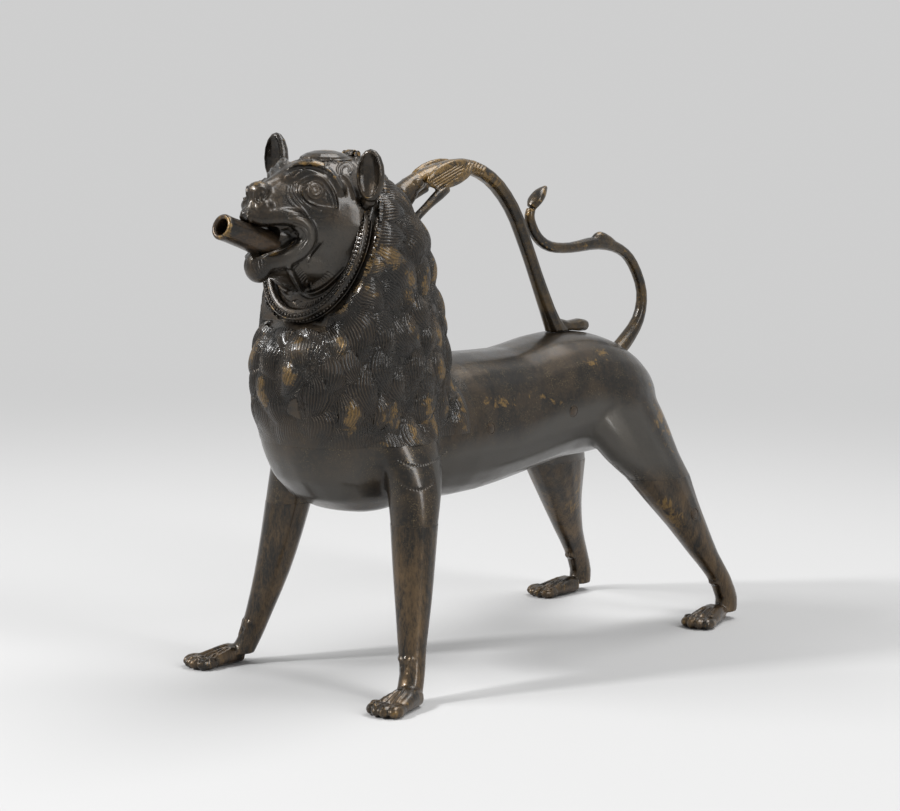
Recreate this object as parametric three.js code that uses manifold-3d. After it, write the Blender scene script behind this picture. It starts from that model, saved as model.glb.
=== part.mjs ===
// Lion aquamanile: a hollow cast bronze ewer in the form of a standing lion, with a spout in the
// mouth, a hinged lid on the crown and a dragon for a handle. Millimetres, +Z up, the lion looks
// along -Y and its left is +X.
import * as THREE from 'three';
import { mergeVertices } from 'three/addons/utils/BufferGeometryUtils.js';
import Module from 'manifold-3d';

const wasm = await Module();
wasm.setup();

// Clearances and walls
const SEAM_GAP = 0.3;
const WALL = 4;

// Trunk
const BELLY_Z = 100;
const BACK_Z = 185;
const TRUNK_HALF_WIDTH = 41;
const RUMP_HALF_WIDTH = 43;
const RUMP_RISE = 6.5;
const RUMP_END_Y = 310;

// Chest and neck
const CHEST_HALF_WIDTH = 47;
const CHEST_FRONT_Y = -8.5;
const CHEST_BACK_Y = 111;
const MANE_HALF_WIDTH = 46;
const MANE_HALF_HEIGHT = 51;
const NECK_SPLIT_BACKSET = 8;
const BARREL_JOINT_BACKSET = 5;
const MANE_LOBE_RADIUS = 17;
const MANE_HEM_Z = 164;
const LOCK_HALF_LENGTH = 13;
const LOCK_HALF_WIDTH = 8;
const LOCK_RISE = 2;
const LOCK_SINK = 2.6;

// Head
const CROWN_Z = 306;
const SKULL_HALF_WIDTH = 35;
const BROW_Z = CROWN_Z - 9.5;
const SNOUT_TIP_Y = -31;
const SNOUT_HALF_WIDTH = 13;
const UPPER_LIP_Z = CROWN_Z - 41;
const LOWER_LIP_Z = CROWN_Z - 49;
const CHIN_Y = -25;
const CHIN_DROP = 19;
const NOSE_RADIUS = 5.8;
const NOSE_Y = -22.5;
const NOSE_Z = CROWN_Z - 21;
const EYE_RADIUS = 7;
const EYE_X = 21.5;
const EYE_Y = 1;
const EYE_Z = CROWN_Z - 20;

// Face collar, which lies in the plane where the head meets the neck
const COLLAR_Y = 26.5;
const COLLAR_Z = CROWN_Z - 52.4;
const COLLAR_TILT_DEG = 21.8;
const COLLAR_HALF_WIDTH = 34.5;
const COLLAR_HALF_HEIGHT = 42.6;
const COLLAR_THICKNESS = 3.4;
const COLLAR_WIDTH = 6.4;
const COLLAR_END_DEG = 38;
const RUFF_DEPTH = 7.5;

// Ears
const EAR_HALF_WIDTH = 8.4;
const EAR_HALF_HEIGHT = 14.8;
const EAR_HALF_DEPTH = 5.6;
const EAR_RIM = 1.7;
const EAR_X = 38;
const EAR_Y = 27.5;
const EAR_Z = CROWN_Z - 7.5;
const EAR_LEAN = 3.6;
const EAR_TURN_DEG = 24;

// Filling hole, lid and hinge
const LID_Y = 30;
const LID_HALF_WIDTH = 14.5;
const LID_HALF_LENGTH = 17;
const LID_SEAT_DEPTH = 2.2;
const LID_TUFT_HEIGHT = 1.6;
const HOLE_HALF_WIDTH = 11;
const HOLE_HALF_LENGTH = 13;
const HINGE_BACKSET = 3.2;
const HINGE_RISE = -0.6;
const KNUCKLE_RADIUS = 2.5;
const KNUCKLE_LENGTH = 6;
const LUG_WIDTH = 3;
const PIN_RADIUS = 1.1;
const PIN_CLEARANCE = 0.35;

// Spout
const SPOUT_TIP_Y = -49.5;
const SPOUT_TIP_Z = CROWN_Z - 38.4;
const SPOUT_TILT_DEG = 18.3;
const SPOUT_LENGTH = 56;
const SPOUT_TIP_RADIUS = 7.3;
const SPOUT_ROOT_RADIUS = 9;
const SPOUT_BORE_RADIUS = 5.2;

// Legs
const LEG_JOINT_Z = 98;
const FRONT_PAW_X = 75.5;
const FRONT_PAW_Y = 14;
const FRONT_LEG_X = 51.7;
const FRONT_LEG_Y = 51.4;
const HIND_PAW_X = 64.5;
const HIND_PAW_Y = 314;
const HIND_LEG_X = 43.5;
const HIND_LEG_Y = 287;
const PAW_HALF_WIDTH = 10.5;
const PAW_LENGTH = 38;
const PAW_HEIGHT = 10;
const TOE_RADIUS = 3.9;
const TOE_COUNT = 4;

// Dragon handle
const HANDLE_HALF_WIDTH = 5.6;
const HANDLE_HALF_DEPTH = 4.6;
const HANDLE_TOP_Z = 297;
const HANDLE_FOOT_Y = 232;
const WING_HALF_LENGTH = 21;
const WING_HALF_HEIGHT = 8;
const WING_HALF_THICKNESS = 3;
const FORELEG_RADIUS = 2.6;

// Tail
const TAIL_RADIUS = 3.5;
const TAIL_ROOT_RADIUS = 5.2;
const TAIL_BEND_Y = 320.5;
const TUFT_HALF_WIDTH = 5.4;
const TUFT_HALF_DEPTH = 3.4;

// Founder's patch and plugs
const PATCH_LENGTH = 38;
const PATCH_WIDTH = 24;
const PATCH_Y = 165;
const PLUG_RADIUS = 3.5;
const LEG_PLUG_DEPTH = 4;

const FINE = { steps: 2, sides: 22 };
const COARSE = { steps: 1, sides: 12 };
const LIMB = { steps: 2, sides: 16 };
const BEYOND = 500;
const radians = THREE.MathUtils.degToRad;

// Solids

function solidOf(geometry) {
  geometry.deleteAttribute('normal');
  geometry.deleteAttribute('uv');
  const merged = mergeVertices(geometry, 1e-4);
  return new wasm.Manifold(new wasm.Mesh({
    numProp: 3,
    vertProperties: new Float32Array(merged.attributes.position.array),
    triVerts: new Uint32Array(merged.index.array),
  }));
}

function geometryOf(solid) {
  const mesh = solid.getMesh();
  const geometry = new THREE.BufferGeometry();
  geometry.setAttribute('position', new THREE.BufferAttribute(mesh.vertProperties.slice(), 3));
  geometry.setIndex(new THREE.BufferAttribute(mesh.triVerts.slice(), 1));
  geometry.computeVertexNormals();
  return geometry;
}

function joined(...solids) {
  return solids.reduce((sum, solid) => sum.add(solid));
}

function without(solid, ...cutters) {
  return cutters.reduce((rest, cutter) => rest.subtract(cutter), solid);
}

// A closed body through rings of points, with a flat fan at each end
function loft(rings) {
  const count = rings[0].length;
  const points = rings.flat();
  const faces = [];
  for (let i = 0; i + 1 < rings.length; i += 1) {
    for (let j = 0; j < count; j += 1) {
      const next = (j + 1) % count;
      const a = i * count + j;
      const b = i * count + next;
      faces.push(a, b, b + count, a, b + count, a + count);
    }
  }
  for (const [ring, flip] of [[0, true], [rings.length - 1, false]]) {
    const centre = new THREE.Vector3();
    rings[ring].forEach((point) => centre.addScaledVector(point, 1 / count));
    const hub = points.push(centre) - 1;
    for (let j = 0; j < count; j += 1) {
      const a = ring * count + j;
      const b = ring * count + ((j + 1) % count);
      faces.push(...(flip ? [hub, b, a] : [hub, a, b]));
    }
  }
  let volume = 0;
  for (let k = 0; k < faces.length; k += 3) {
    const [p, q, r] = [points[faces[k]], points[faces[k + 1]], points[faces[k + 2]]];
    volume += p.dot(q.clone().cross(r));
  }
  if (volume < 0) {
    faces.reverse();
  }
  const geometry = new THREE.BufferGeometry().setFromPoints(points);
  geometry.setIndex(faces);
  return solidOf(geometry);
}

// Smooth rows of numbers through a table of rows
function smoothRows(table, steps) {
  const rows = [];
  for (let i = 0; i + 1 < table.length; i += 1) {
    const [a, b, c, d] = [-1, 0, 1, 2].map((k) => table[THREE.MathUtils.clamp(i + k, 0, table.length - 1)]);
    for (let s = 0; s < steps; s += 1) {
      const t = s / steps;
      rows.push(b.map((value, k) => {
        const slope0 = (c[k] - a[k]) / 2;
        const slope1 = (d[k] - b[k]) / 2;
        const bend = 2 * (b[k] - c[k]) + slope0 + slope1;
        return ((bend * t + 3 * (c[k] - b[k]) - 2 * slope0 - slope1) * t + slope0) * t + b[k];
      }));
    }
  }
  rows.push(table[table.length - 1]);
  return rows;
}

// Closed outline of half sizes a and b; a power over 2 squares it off
function oval(a, b, power, sides) {
  return Array.from({ length: sides }, (_, i) => {
    const angle = (i / sides) * 2 * Math.PI;
    const u = Math.cos(angle);
    const v = Math.sin(angle);
    return [a * Math.sign(u) * Math.abs(u) ** (2 / power), b * Math.sign(v) * Math.abs(v) ** (2 / power)];
  });
}

// Sections across Y, each row being y, top, bottom, half width and an optional centre x
function bodyAlongY(table, { steps = 3, sides = 32, power = 2.15, grow = 0 } = {}) {
  return loft(smoothRows(table, steps).map(([y, top, bottom, half, x = 0]) => {
    const middle = (top + bottom) / 2;
    return oval(half + grow, (top - bottom) / 2 + grow, power, sides)
      .map(([u, v]) => new THREE.Vector3(x + u, y, middle + v));
  }));
}

// Sections across Z, each row being z, front y, back y, half width and an optional centre x
function bodyAlongZ(table, { steps = 3, sides = 32, power = 2.1, grow = 0 } = {}) {
  return loft(smoothRows(table, steps).map(([z, front, back, half, x = 0]) => {
    const middle = (front + back) / 2;
    return oval(half + grow, (back - front) / 2 + grow, power, sides)
      .map(([u, v]) => new THREE.Vector3(x + u, middle + v, z));
  }));
}

// Sections square to a route in or beside the plane of symmetry; each row is x, y, z, half width, half depth
function bodyAlongRoute(table, { steps = 4, sides = 12, power = 2.2, grow = 0 } = {}) {
  const rows = smoothRows(table, steps);
  const centres = rows.map(([x, y, z]) => new THREE.Vector3(x, y, z));
  return loft(rows.map(([, , , half, depth], i) => {
    const ahead = centres[Math.min(i + 1, rows.length - 1)];
    const behind = centres[Math.max(i - 1, 0)];
    const along = ahead.clone().sub(behind).normalize();
    const side = new THREE.Vector3(1, 0, 0).addScaledVector(along, -along.x).normalize();
    const out = side.clone().cross(along);
    return oval(half + grow, depth + grow, power, sides)
      .map(([u, v]) => centres[i].clone().addScaledVector(side, u).addScaledVector(out, v));
  }));
}

function ellipsoid(x, y, z, a, b, c, { sides = 14, rows = 8, turn = 0, tilt = 0 } = {}) {
  const geometry = new THREE.SphereGeometry(1, sides, rows);
  geometry.rotateX(Math.PI / 2);
  geometry.scale(a, b, c);
  geometry.rotateX(tilt);
  geometry.rotateZ(turn);
  geometry.translate(x, y, z);
  return solidOf(geometry);
}

function rod(from, to, radius, sides = 20) {
  const along = to.clone().sub(from);
  const geometry = new THREE.CylinderGeometry(radius, radius, along.length(), sides);
  geometry.applyQuaternion(new THREE.Quaternion().setFromUnitVectors(
    new THREE.Vector3(0, 1, 0),
    along.clone().normalize(),
  ));
  geometry.translate(...from.clone().add(to).multiplyScalar(0.5).toArray());
  return solidOf(geometry);
}

function block(x0, x1, y0, y1, z0, z1) {
  const geometry = new THREE.BoxGeometry(x1 - x0, y1 - y0, z1 - z0);
  geometry.translate((x0 + x1) / 2, (y0 + y1) / 2, (z0 + z1) / 2);
  return solidOf(geometry);
}

// The half of space behind the collar plane, moved back by an offset
function behindCollar(offset) {
  const size = 600;
  const geometry = new THREE.BoxGeometry(size, size, size);
  geometry.translate(0, size / 2 + offset, 0);
  geometry.rotateX(-radians(COLLAR_TILT_DEG));
  geometry.translate(0, COLLAR_Y, COLLAR_Z);
  return solidOf(geometry);
}

const collarTilt = radians(COLLAR_TILT_DEG);
const collarUp = new THREE.Vector3(0, Math.sin(collarTilt), Math.cos(collarTilt));
const collarBack = new THREE.Vector3(0, Math.cos(collarTilt), -Math.sin(collarTilt));
const collarCentre = new THREE.Vector3(0, COLLAR_Y, COLLAR_Z);

// Trunk, chest and neck

function trunkSolid(grow, mesh = FINE) {
  const middle = (BACK_Z + BELLY_Z) / 2;
  const rump = BACK_Z + RUMP_RISE;
  return bodyAlongY([
    [40, BACK_Z - 12, BELLY_Z + 10, TRUNK_HALF_WIDTH - 14],
    [100, BACK_Z - 3, BELLY_Z + 0.5, TRUNK_HALF_WIDTH - 1],
    [140, BACK_Z + 0.5, BELLY_Z, TRUNK_HALF_WIDTH],
    [181, BACK_Z, BELLY_Z + 5, TRUNK_HALF_WIDTH - 1],
    [RUMP_END_Y - 92, rump - 1, BELLY_Z + 11, RUMP_HALF_WIDTH - 2],
    [RUMP_END_Y - 65, rump, BELLY_Z + 12, RUMP_HALF_WIDTH - 0.5],
    [RUMP_END_Y - 43, rump - 4, BELLY_Z + 14, RUMP_HALF_WIDTH],
    [RUMP_END_Y - 25, rump - 12, BELLY_Z + 17, RUMP_HALF_WIDTH - 4],
    [RUMP_END_Y - 11, rump - 23, BELLY_Z + 24, RUMP_HALF_WIDTH - 12],
    [RUMP_END_Y - 3, rump - 34, BELLY_Z + 32, RUMP_HALF_WIDTH - 22],
    [RUMP_END_Y + grow, middle + 8, middle - 6, RUMP_HALF_WIDTH - 33],
  ], { ...mesh, grow });
}

function chestSolid(grow, mesh = FINE) {
  const f = CHEST_FRONT_Y;
  const b = CHEST_BACK_Y;
  const w = CHEST_HALF_WIDTH;
  return bodyAlongZ([
    [BELLY_Z - 1 - grow, f + 58, b - 56, w - 36],
    [BELLY_Z + 2, f + 41, b - 36, w - 24],
    [BELLY_Z + 10, f + 25, b - 16, w - 14],
    [BELLY_Z + 22, f + 13, b - 8, w - 8],
    [BELLY_Z + 38, f + 5, b - 3, w - 4],
    [BELLY_Z + 60, f + 1, b, w - 1],
    [BELLY_Z + 82, f, b, w],
    [BELLY_Z + 97, f + 2.5, b - 1.5, w],
    [BELLY_Z + 105, f + 8, b - 4, w - 0.5],
    [BELLY_Z + 111, f + 15, b - 7, w - 1],
    [BELLY_Z + 122, f + 22, b - 10, w - 3],
    [BELLY_Z + 136, f + 29, b - 17, w - 7],
    [BELLY_Z + 152, f + 48, b - 27, w - 15],
    [BELLY_Z + 165, f + 66, b - 38, w - 29],
  ], { ...mesh, steps: 1, power: 2.3, grow });
}

// Rings square to the collar's axis, which runs back and down through the neck
function neckSolid(grow, start, { steps, sides } = FINE) {
  const table = [
    [start, MANE_HALF_WIDTH - 4.5, MANE_HALF_HEIGHT - 4],
    [6, MANE_HALF_WIDTH - 1, MANE_HALF_HEIGHT - 1.5],
    [14, MANE_HALF_WIDTH, MANE_HALF_HEIGHT - 1],
    [27, MANE_HALF_WIDTH - 1, MANE_HALF_HEIGHT - 6],
    [42, MANE_HALF_WIDTH - 4, MANE_HALF_HEIGHT - 15],
    [56, MANE_HALF_WIDTH - 10, MANE_HALF_HEIGHT - 26],
    [66, MANE_HALF_WIDTH - 22, MANE_HALF_HEIGHT - 38],
  ];
  const at = (u, v, back) => collarCentre.clone()
    .addScaledVector(collarBack, back)
    .addScaledVector(collarUp, v)
    .setX(u);
  return loft(smoothRows(table, steps).map(([back, half, height]) => (
    oval(half + grow, height + grow, 2.4, sides).map(([u, v]) => at(u, v, back))
  )));
}

function haunchSolid(side, grow, mesh = LIMB) {
  const x = HIND_LEG_X;
  const y = HIND_LEG_Y;
  const row = (z, dx, dy, a, b) => [z, y + dy - b, y + dy + b, a, side * (x + dx)];
  return bodyAlongZ([
    row(LEG_JOINT_Z, 0, 0, 15, 26.5),
    row(LEG_JOINT_Z + 14, -4, -12, 16, 32),
    row(LEG_JOINT_Z + 32, -10, -21, 17, 37),
    row(LEG_JOINT_Z + 50, -17, -27, 17, 38),
    row(LEG_JOINT_Z + 67, -22.5, -30, 12, 30),
    row(LEG_JOINT_Z + 77, -25.5, -30, 5, 12),
  ], { ...mesh, grow });
}

function shoulderSolid(side, grow, mesh = LIMB) {
  const x = FRONT_LEG_X;
  const y = FRONT_LEG_Y;
  const row = (z, dx, dy, a, b) => [z, y + dy - b, y + dy + b, a, side * (x + dx)];
  return bodyAlongZ([
    row(LEG_JOINT_Z, 0, 0, 13.5, 13.8),
    row(LEG_JOINT_Z + 17, -3, 3, 14, 17),
    row(LEG_JOINT_Z + 34, -8, 5, 14, 21),
    row(LEG_JOINT_Z + 52, -16, 6, 13, 24),
    row(LEG_JOINT_Z + 67, -23, 8, 9, 19),
  ], { ...mesh, grow });
}

// The swell of the mane beside the lower cheek
function maneLobe(side, grow) {
  const half = MANE_HALF_WIDTH * 0.5;
  return ellipsoid(
    side * (MANE_HALF_WIDTH - MANE_LOBE_RADIUS),
    COLLAR_Y + 4,
    COLLAR_Z - 35,
    MANE_LOBE_RADIUS + grow,
    MANE_LOBE_RADIUS + 1 + grow,
    half + 4 + grow,
    { sides: 16, rows: 10 },
  );
}

function maneLobes(grow) {
  return joined(maneLobe(1, grow), maneLobe(-1, grow));
}

// The lowest point of the collar
function collarBottom() {
  return COLLAR_Z - (COLLAR_HALF_HEIGHT + COLLAR_THICKNESS) * collarUp.z;
}

// The space in front of the neck joint, above the chest
function faceRoom() {
  const overChest = block(-BEYOND, BEYOND, -BEYOND, BEYOND, collarBottom(), BEYOND);
  return overChest.subtract(behindCollar(NECK_SPLIT_BACKSET));
}

// The first stretch of the mane, which belongs to the head
function maneRim() {
  return joined(neckSolid(0, 0), chestSolid(0), maneLobes(0))
    .intersect(block(-BEYOND, BEYOND, -BEYOND, BEYOND, collarBottom() + SEAM_GAP, BEYOND))
    .intersect(behindCollar(0))
    .subtract(behindCollar(NECK_SPLIT_BACKSET - SEAM_GAP));
}

// Which way the hair runs: away from the face, then down
function hairFlow(spot, normal) {
  const behind = spot.clone().sub(collarCentre).dot(collarBack);
  const turned = THREE.MathUtils.smoothstep(behind, 0, MANE_HALF_HEIGHT);
  const down = Math.max(turned, THREE.MathUtils.clamp((COLLAR_Z - 22 - spot.z) / 40, 0, 1));
  const run = collarBack.clone().multiplyScalar(1 - down).add(new THREE.Vector3(0, 0, -down));
  return run.addScaledVector(normal, -run.dot(normal)).normalize();
}

// A low mound of hair that lies along the flow
function maneLock(spot, normal) {
  const along = hairFlow(spot, normal);
  const side = along.clone().cross(normal);
  const geometry = new THREE.SphereGeometry(1, 8, 4);
  geometry.scale(LOCK_HALF_WIDTH, LOCK_HALF_LENGTH, LOCK_SINK + LOCK_RISE);
  geometry.applyMatrix4(new THREE.Matrix4().makeBasis(side, along, normal));
  geometry.translate(...spot.clone().addScaledVector(normal, -LOCK_SINK).toArray());
  return solidOf(geometry);
}

// Clear of the face, of the handle's seat on the nape and of the mane's hem
function hasLock(spot) {
  const behind = spot.clone().sub(collarCentre).dot(collarBack);
  const behindFace = behind > NECK_SPLIT_BACKSET + LOCK_HALF_LENGTH;
  const clearOfFace = behindFace || spot.z < collarBottom() - LOCK_HALF_LENGTH;
  const onNape = spot.y > COLLAR_Y + MANE_HALF_WIDTH * 0.7 && spot.z > COLLAR_Z - LOCK_HALF_LENGTH;
  const clearOfHandle = !onNape || Math.abs(spot.x) > 2 * HANDLE_HALF_WIDTH + 1.5 * LOCK_HALF_WIDTH;
  return clearOfFace && clearOfHandle && spot.y < CHEST_BACK_Y - LOCK_HALF_WIDTH;
}

// Staggered rows of locks round the neck and the chest
function maneLocks(skin) {
  const surface = new THREE.Mesh(geometryOf(skin), new THREE.MeshBasicMaterial());
  const heart = (CHEST_FRONT_Y + CHEST_BACK_Y) / 2;
  const far = 3 * CHEST_HALF_WIDTH;
  const around = Math.round((Math.PI * 2 * CHEST_HALF_WIDTH) / (2.3 * LOCK_HALF_WIDTH));
  const locks = [];
  for (let row = 0; MANE_HEM_Z + row * 1.45 * LOCK_HALF_LENGTH < CROWN_Z - LOCK_HALF_LENGTH; row += 1) {
    const z = MANE_HEM_Z + row * 1.45 * LOCK_HALF_LENGTH;
    for (let k = 0; k < around; k += 1) {
      const angle = ((k + (row % 2) / 2) / around) * 2 * Math.PI;
      const out = new THREE.Vector3(Math.sin(angle), Math.cos(angle), 0);
      const start = new THREE.Vector3(0, heart, z).addScaledVector(out, far);
      const [hit] = new THREE.Raycaster(start, out.negate(), 0, far).intersectObject(surface);
      if (hit && hasLock(hit.point)) {
        locks.push(maneLock(hit.point, hit.face.normal));
      }
    }
  }
  return joined(...locks);
}

function bodyOuter(grow = 0) {
  return joined(
    trunkSolid(grow),
    chestSolid(grow),
    neckSolid(grow, -grow),
    maneLobes(grow),
    haunchSolid(1, grow),
    haunchSolid(-1, grow),
    shoulderSolid(1, grow),
    shoulderSolid(-1, grow),
  );
}

function bodyHollow() {
  const inset = -WALL - 1.5;
  const limbs = joined(...[1, -1].flatMap((side) => [
    haunchSolid(side, inset, COARSE),
    shoulderSolid(side, inset, COARSE),
  ]));
  return joined(
    trunkSolid(-WALL, COARSE),
    chestSolid(-WALL, COARSE),
    neckSolid(-WALL, -20, COARSE),
    limbs.intersect(block(-BEYOND, BEYOND, -BEYOND, BEYOND, LEG_JOINT_Z + 2 * WALL, BEYOND)),
  );
}

// Head

function skullSolid(grow, mesh = FINE) {
  const w = SKULL_HALF_WIDTH;
  return bodyAlongY([
    [-7, BROW_Z - 4, UPPER_LIP_Z + 2, w - 19],
    [0, BROW_Z + 1, LOWER_LIP_Z - 6, w - 10.5],
    [8, CROWN_Z - 5, LOWER_LIP_Z - 17, w - 5],
    [15, CROWN_Z - 2.5, LOWER_LIP_Z - 23, w - 3],
    [24, CROWN_Z - 1, LOWER_LIP_Z - 32, w - 1],
    [34, CROWN_Z, LOWER_LIP_Z - 42, w],
    [45, CROWN_Z - 1.5, LOWER_LIP_Z - 45, w + 1],
    [57, CROWN_Z - 7, LOWER_LIP_Z - 45, w - 1],
    [68, CROWN_Z - 15, LOWER_LIP_Z - 45, w - 4],
  ], { ...mesh, grow });
}

// The raised rim between the cheeks and the collar
function ruffSolid(grow) {
  const w = COLLAR_HALF_WIDTH;
  const h = COLLAR_HALF_HEIGHT;
  return loft([
    [-RUFF_DEPTH - grow, w - 9, h - 11],
    [-RUFF_DEPTH * 0.7, w - 4.5, h - 5],
    [-RUFF_DEPTH * 0.3, w - 1.5, h - 1.5],
    [2, w, h],
  ].map(([back, half, height]) => oval(half + grow, height + grow, 2, 24)
    .map(([u, v]) => collarCentre.clone()
      .addScaledVector(collarBack, back)
      .addScaledVector(collarUp, v)
      .setX(u))));
}

function snoutSolid(grow) {
  const w = SNOUT_HALF_WIDTH;
  return bodyAlongY([
    [SNOUT_TIP_Y - grow, UPPER_LIP_Z + 12, UPPER_LIP_Z + 6.5, w - 12],
    [SNOUT_TIP_Y + 2.5, UPPER_LIP_Z + 15.5, UPPER_LIP_Z + 2, w - 6],
    [SNOUT_TIP_Y + 8, UPPER_LIP_Z + 19.5, UPPER_LIP_Z, w - 2],
    [SNOUT_TIP_Y + 15, UPPER_LIP_Z + 23.5, UPPER_LIP_Z - 1, w],
    [SNOUT_TIP_Y + 25, BROW_Z - 4, UPPER_LIP_Z - 2, w + 4],
    [SNOUT_TIP_Y + 35, BROW_Z, UPPER_LIP_Z - 3, w + 7],
    [SNOUT_TIP_Y + 47, BROW_Z + 3, UPPER_LIP_Z - 3, w + 10],
  ], { sides: 16, steps: 2, power: 2.3, grow });
}

function jawSolid(grow) {
  const z = LOWER_LIP_Z;
  return bodyAlongY([
    [CHIN_Y - grow, z - 3, z - 9, 5],
    [CHIN_Y + 3, z - 0.5, z - 14, 9.5],
    [CHIN_Y + 8, z + 1, z - CHIN_DROP, 13.5],
    [CHIN_Y + 18, z + 1, z - CHIN_DROP - 1.5, 18],
    [CHIN_Y + 30, z + 1, z - CHIN_DROP - 3.5, 23],
    [CHIN_Y + 41, z + 1, z - CHIN_DROP - 6, 27],
  ], { sides: 16, steps: 2, power: 2.3, grow });
}

function browSolid(side) {
  return bodyAlongRoute([
    [side * 5, -7, BROW_Z - 4, 2, 2],
    [side * 11, -3, BROW_Z - 0.5, 2.8, 2.6],
    [side * 18, 3, BROW_Z, 3, 2.8],
    [side * 25, 9, BROW_Z - 4, 2.6, 2.4],
    [side * 29, 13, BROW_Z - 12, 2, 2],
  ], { sides: 8, steps: 2 });
}

function headOuter(grow = 0) {
  return joined(
    skullSolid(grow),
    snoutSolid(grow),
    jawSolid(grow),
    ruffSolid(grow),
    ellipsoid(0, NOSE_Y, NOSE_Z, NOSE_RADIUS + 0.6, NOSE_RADIUS, NOSE_RADIUS),
    ...[1, -1].flatMap((side) => [
      ellipsoid(side * EYE_X, EYE_Y, EYE_Z, EYE_RADIUS, EYE_RADIUS, EYE_RADIUS * 0.86, { turn: side * 0.6 }),
      browSolid(side),
    ]),
  );
}

const spoutTilt = radians(SPOUT_TILT_DEG);
const spoutAxis = new THREE.Vector3(0, Math.cos(spoutTilt), -Math.sin(spoutTilt));
const spoutTip = new THREE.Vector3(0, SPOUT_TIP_Y, SPOUT_TIP_Z);

function lidOutline(halfWidth, halfLength, z0, z1) {
  const ring = (z) => oval(halfWidth, halfLength, 2, 24).map(([u, v]) => new THREE.Vector3(u, LID_Y + v, z));
  return loft([ring(z0), ring(z1)]);
}

const hingeY = LID_Y + LID_HALF_LENGTH + HINGE_BACKSET;
const hingeZ = CROWN_Z + HINGE_RISE;

function hingeRod(x0, x1, radius) {
  return rod(new THREE.Vector3(x0, hingeY, hingeZ), new THREE.Vector3(x1, hingeY, hingeZ), radius);
}

function hingeLug(side) {
  const inner = KNUCKLE_LENGTH / 2 + SEAM_GAP;
  const [x0, x1] = [side * inner, side * (inner + LUG_WIDTH)].sort((a, b) => a - b);
  const r = KNUCKLE_RADIUS;
  return joined(
    hingeRod(x0, x1, r),
    block(x0, x1, hingeY - r * 0.9, hingeY + r * 0.9, CROWN_Z - 9, hingeZ),
  );
}

// The slot in the crown that the lid's knuckle and its arm turn in
function knuckleRoom() {
  const half = KNUCKLE_LENGTH / 2 + SEAM_GAP;
  const low = hingeZ - KNUCKLE_RADIUS - 2 * SEAM_GAP;
  return joined(
    hingeRod(-half, half, KNUCKLE_RADIUS + 2 * SEAM_GAP),
    block(-half, half, LID_Y + LID_HALF_LENGTH - 4, hingeY, low, hingeZ + 20),
  );
}

function headShell() {
  const face = headOuter().subtract(behindCollar(NECK_SPLIT_BACKSET - SEAM_GAP));
  const overChest = block(-BEYOND, BEYOND, -BEYOND, BEYOND, collarBottom() + SEAM_GAP, BEYOND);
  const outer = joined(face.intersect(overChest), maneRim());
  const hollow = skullSolid(-WALL, COARSE).intersect(block(-60, 60, 3, 120, 150, 350));
  const seat = CROWN_Z - LID_SEAT_DEPTH - 1.5;
  const lugs = joined(hingeLug(1), hingeLug(-1)).subtract(skullSolid(-WALL * 0.8));
  const lidRoom = LID_HALF_WIDTH + SEAM_GAP;
  const lidLong = LID_HALF_LENGTH + SEAM_GAP;
  const spoutHole = rod(
    spoutTip.clone().addScaledVector(spoutAxis, -10),
    spoutTip.clone().addScaledVector(spoutAxis, SPOUT_LENGTH + 1),
    SPOUT_ROOT_RADIUS + SEAM_GAP,
    24,
  );
  const shell = without(
    outer,
    hollow,
    lidOutline(lidRoom, lidLong, seat - SEAM_GAP, CROWN_Z + 20),
    lidOutline(HOLE_HALF_WIDTH, HOLE_HALF_LENGTH, CROWN_Z - 25, CROWN_Z + 20),
    spoutHole,
  );
  const room = KNUCKLE_LENGTH / 2 + SEAM_GAP;
  return without(
    joined(shell, lugs),
    knuckleRoom(),
    hingeRod(-room - LUG_WIDTH - 2, room + LUG_WIDTH + 2, PIN_RADIUS + SEAM_GAP),
  );
}

function fillingLid() {
  const seat = CROWN_Z - LID_SEAT_DEPTH - 1.5;
  const crown = skullSolid(0);
  const dome = [LID_HALF_WIDTH - 1, LID_HALF_LENGTH - 1, LID_TUFT_HEIGHT + 4.4];
  const tuft = ellipsoid(0, LID_Y - 1, CROWN_Z - 4, ...dome);
  const top = joined(crown, tuft).intersect(lidOutline(LID_HALF_WIDTH, LID_HALF_LENGTH, seat, CROWN_Z + 20));
  const half = KNUCKLE_LENGTH / 2;
  const knuckle = joined(
    hingeRod(-half, half, KNUCKLE_RADIUS),
    block(-half, half, hingeY - HINGE_BACKSET - 3, hingeY, hingeZ - KNUCKLE_RADIUS, hingeZ - 0.2),
  );
  return joined(top, knuckle).subtract(hingeRod(-half - 1, half + 1, PIN_RADIUS + PIN_CLEARANCE));
}

function hingePin() {
  const half = KNUCKLE_LENGTH / 2 + SEAM_GAP + LUG_WIDTH;
  return hingeRod(-half, half, PIN_RADIUS);
}

function spoutTube() {
  const profile = [
    [SPOUT_BORE_RADIUS, 0.8],
    [SPOUT_BORE_RADIUS + 0.8, 0],
    [SPOUT_TIP_RADIUS - 0.7, 0],
    [SPOUT_TIP_RADIUS, 0.9],
    [SPOUT_ROOT_RADIUS, SPOUT_LENGTH * 0.6],
    [SPOUT_ROOT_RADIUS, SPOUT_LENGTH],
    [SPOUT_BORE_RADIUS, SPOUT_LENGTH],
    [SPOUT_BORE_RADIUS, 0.8],
  ].map(([x, y]) => new THREE.Vector2(x, y));
  const geometry = new THREE.LatheGeometry(profile, 24);
  geometry.applyQuaternion(new THREE.Quaternion().setFromUnitVectors(new THREE.Vector3(0, 1, 0), spoutAxis));
  geometry.translate(...spoutTip.toArray());
  return solidOf(geometry);
}

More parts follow.
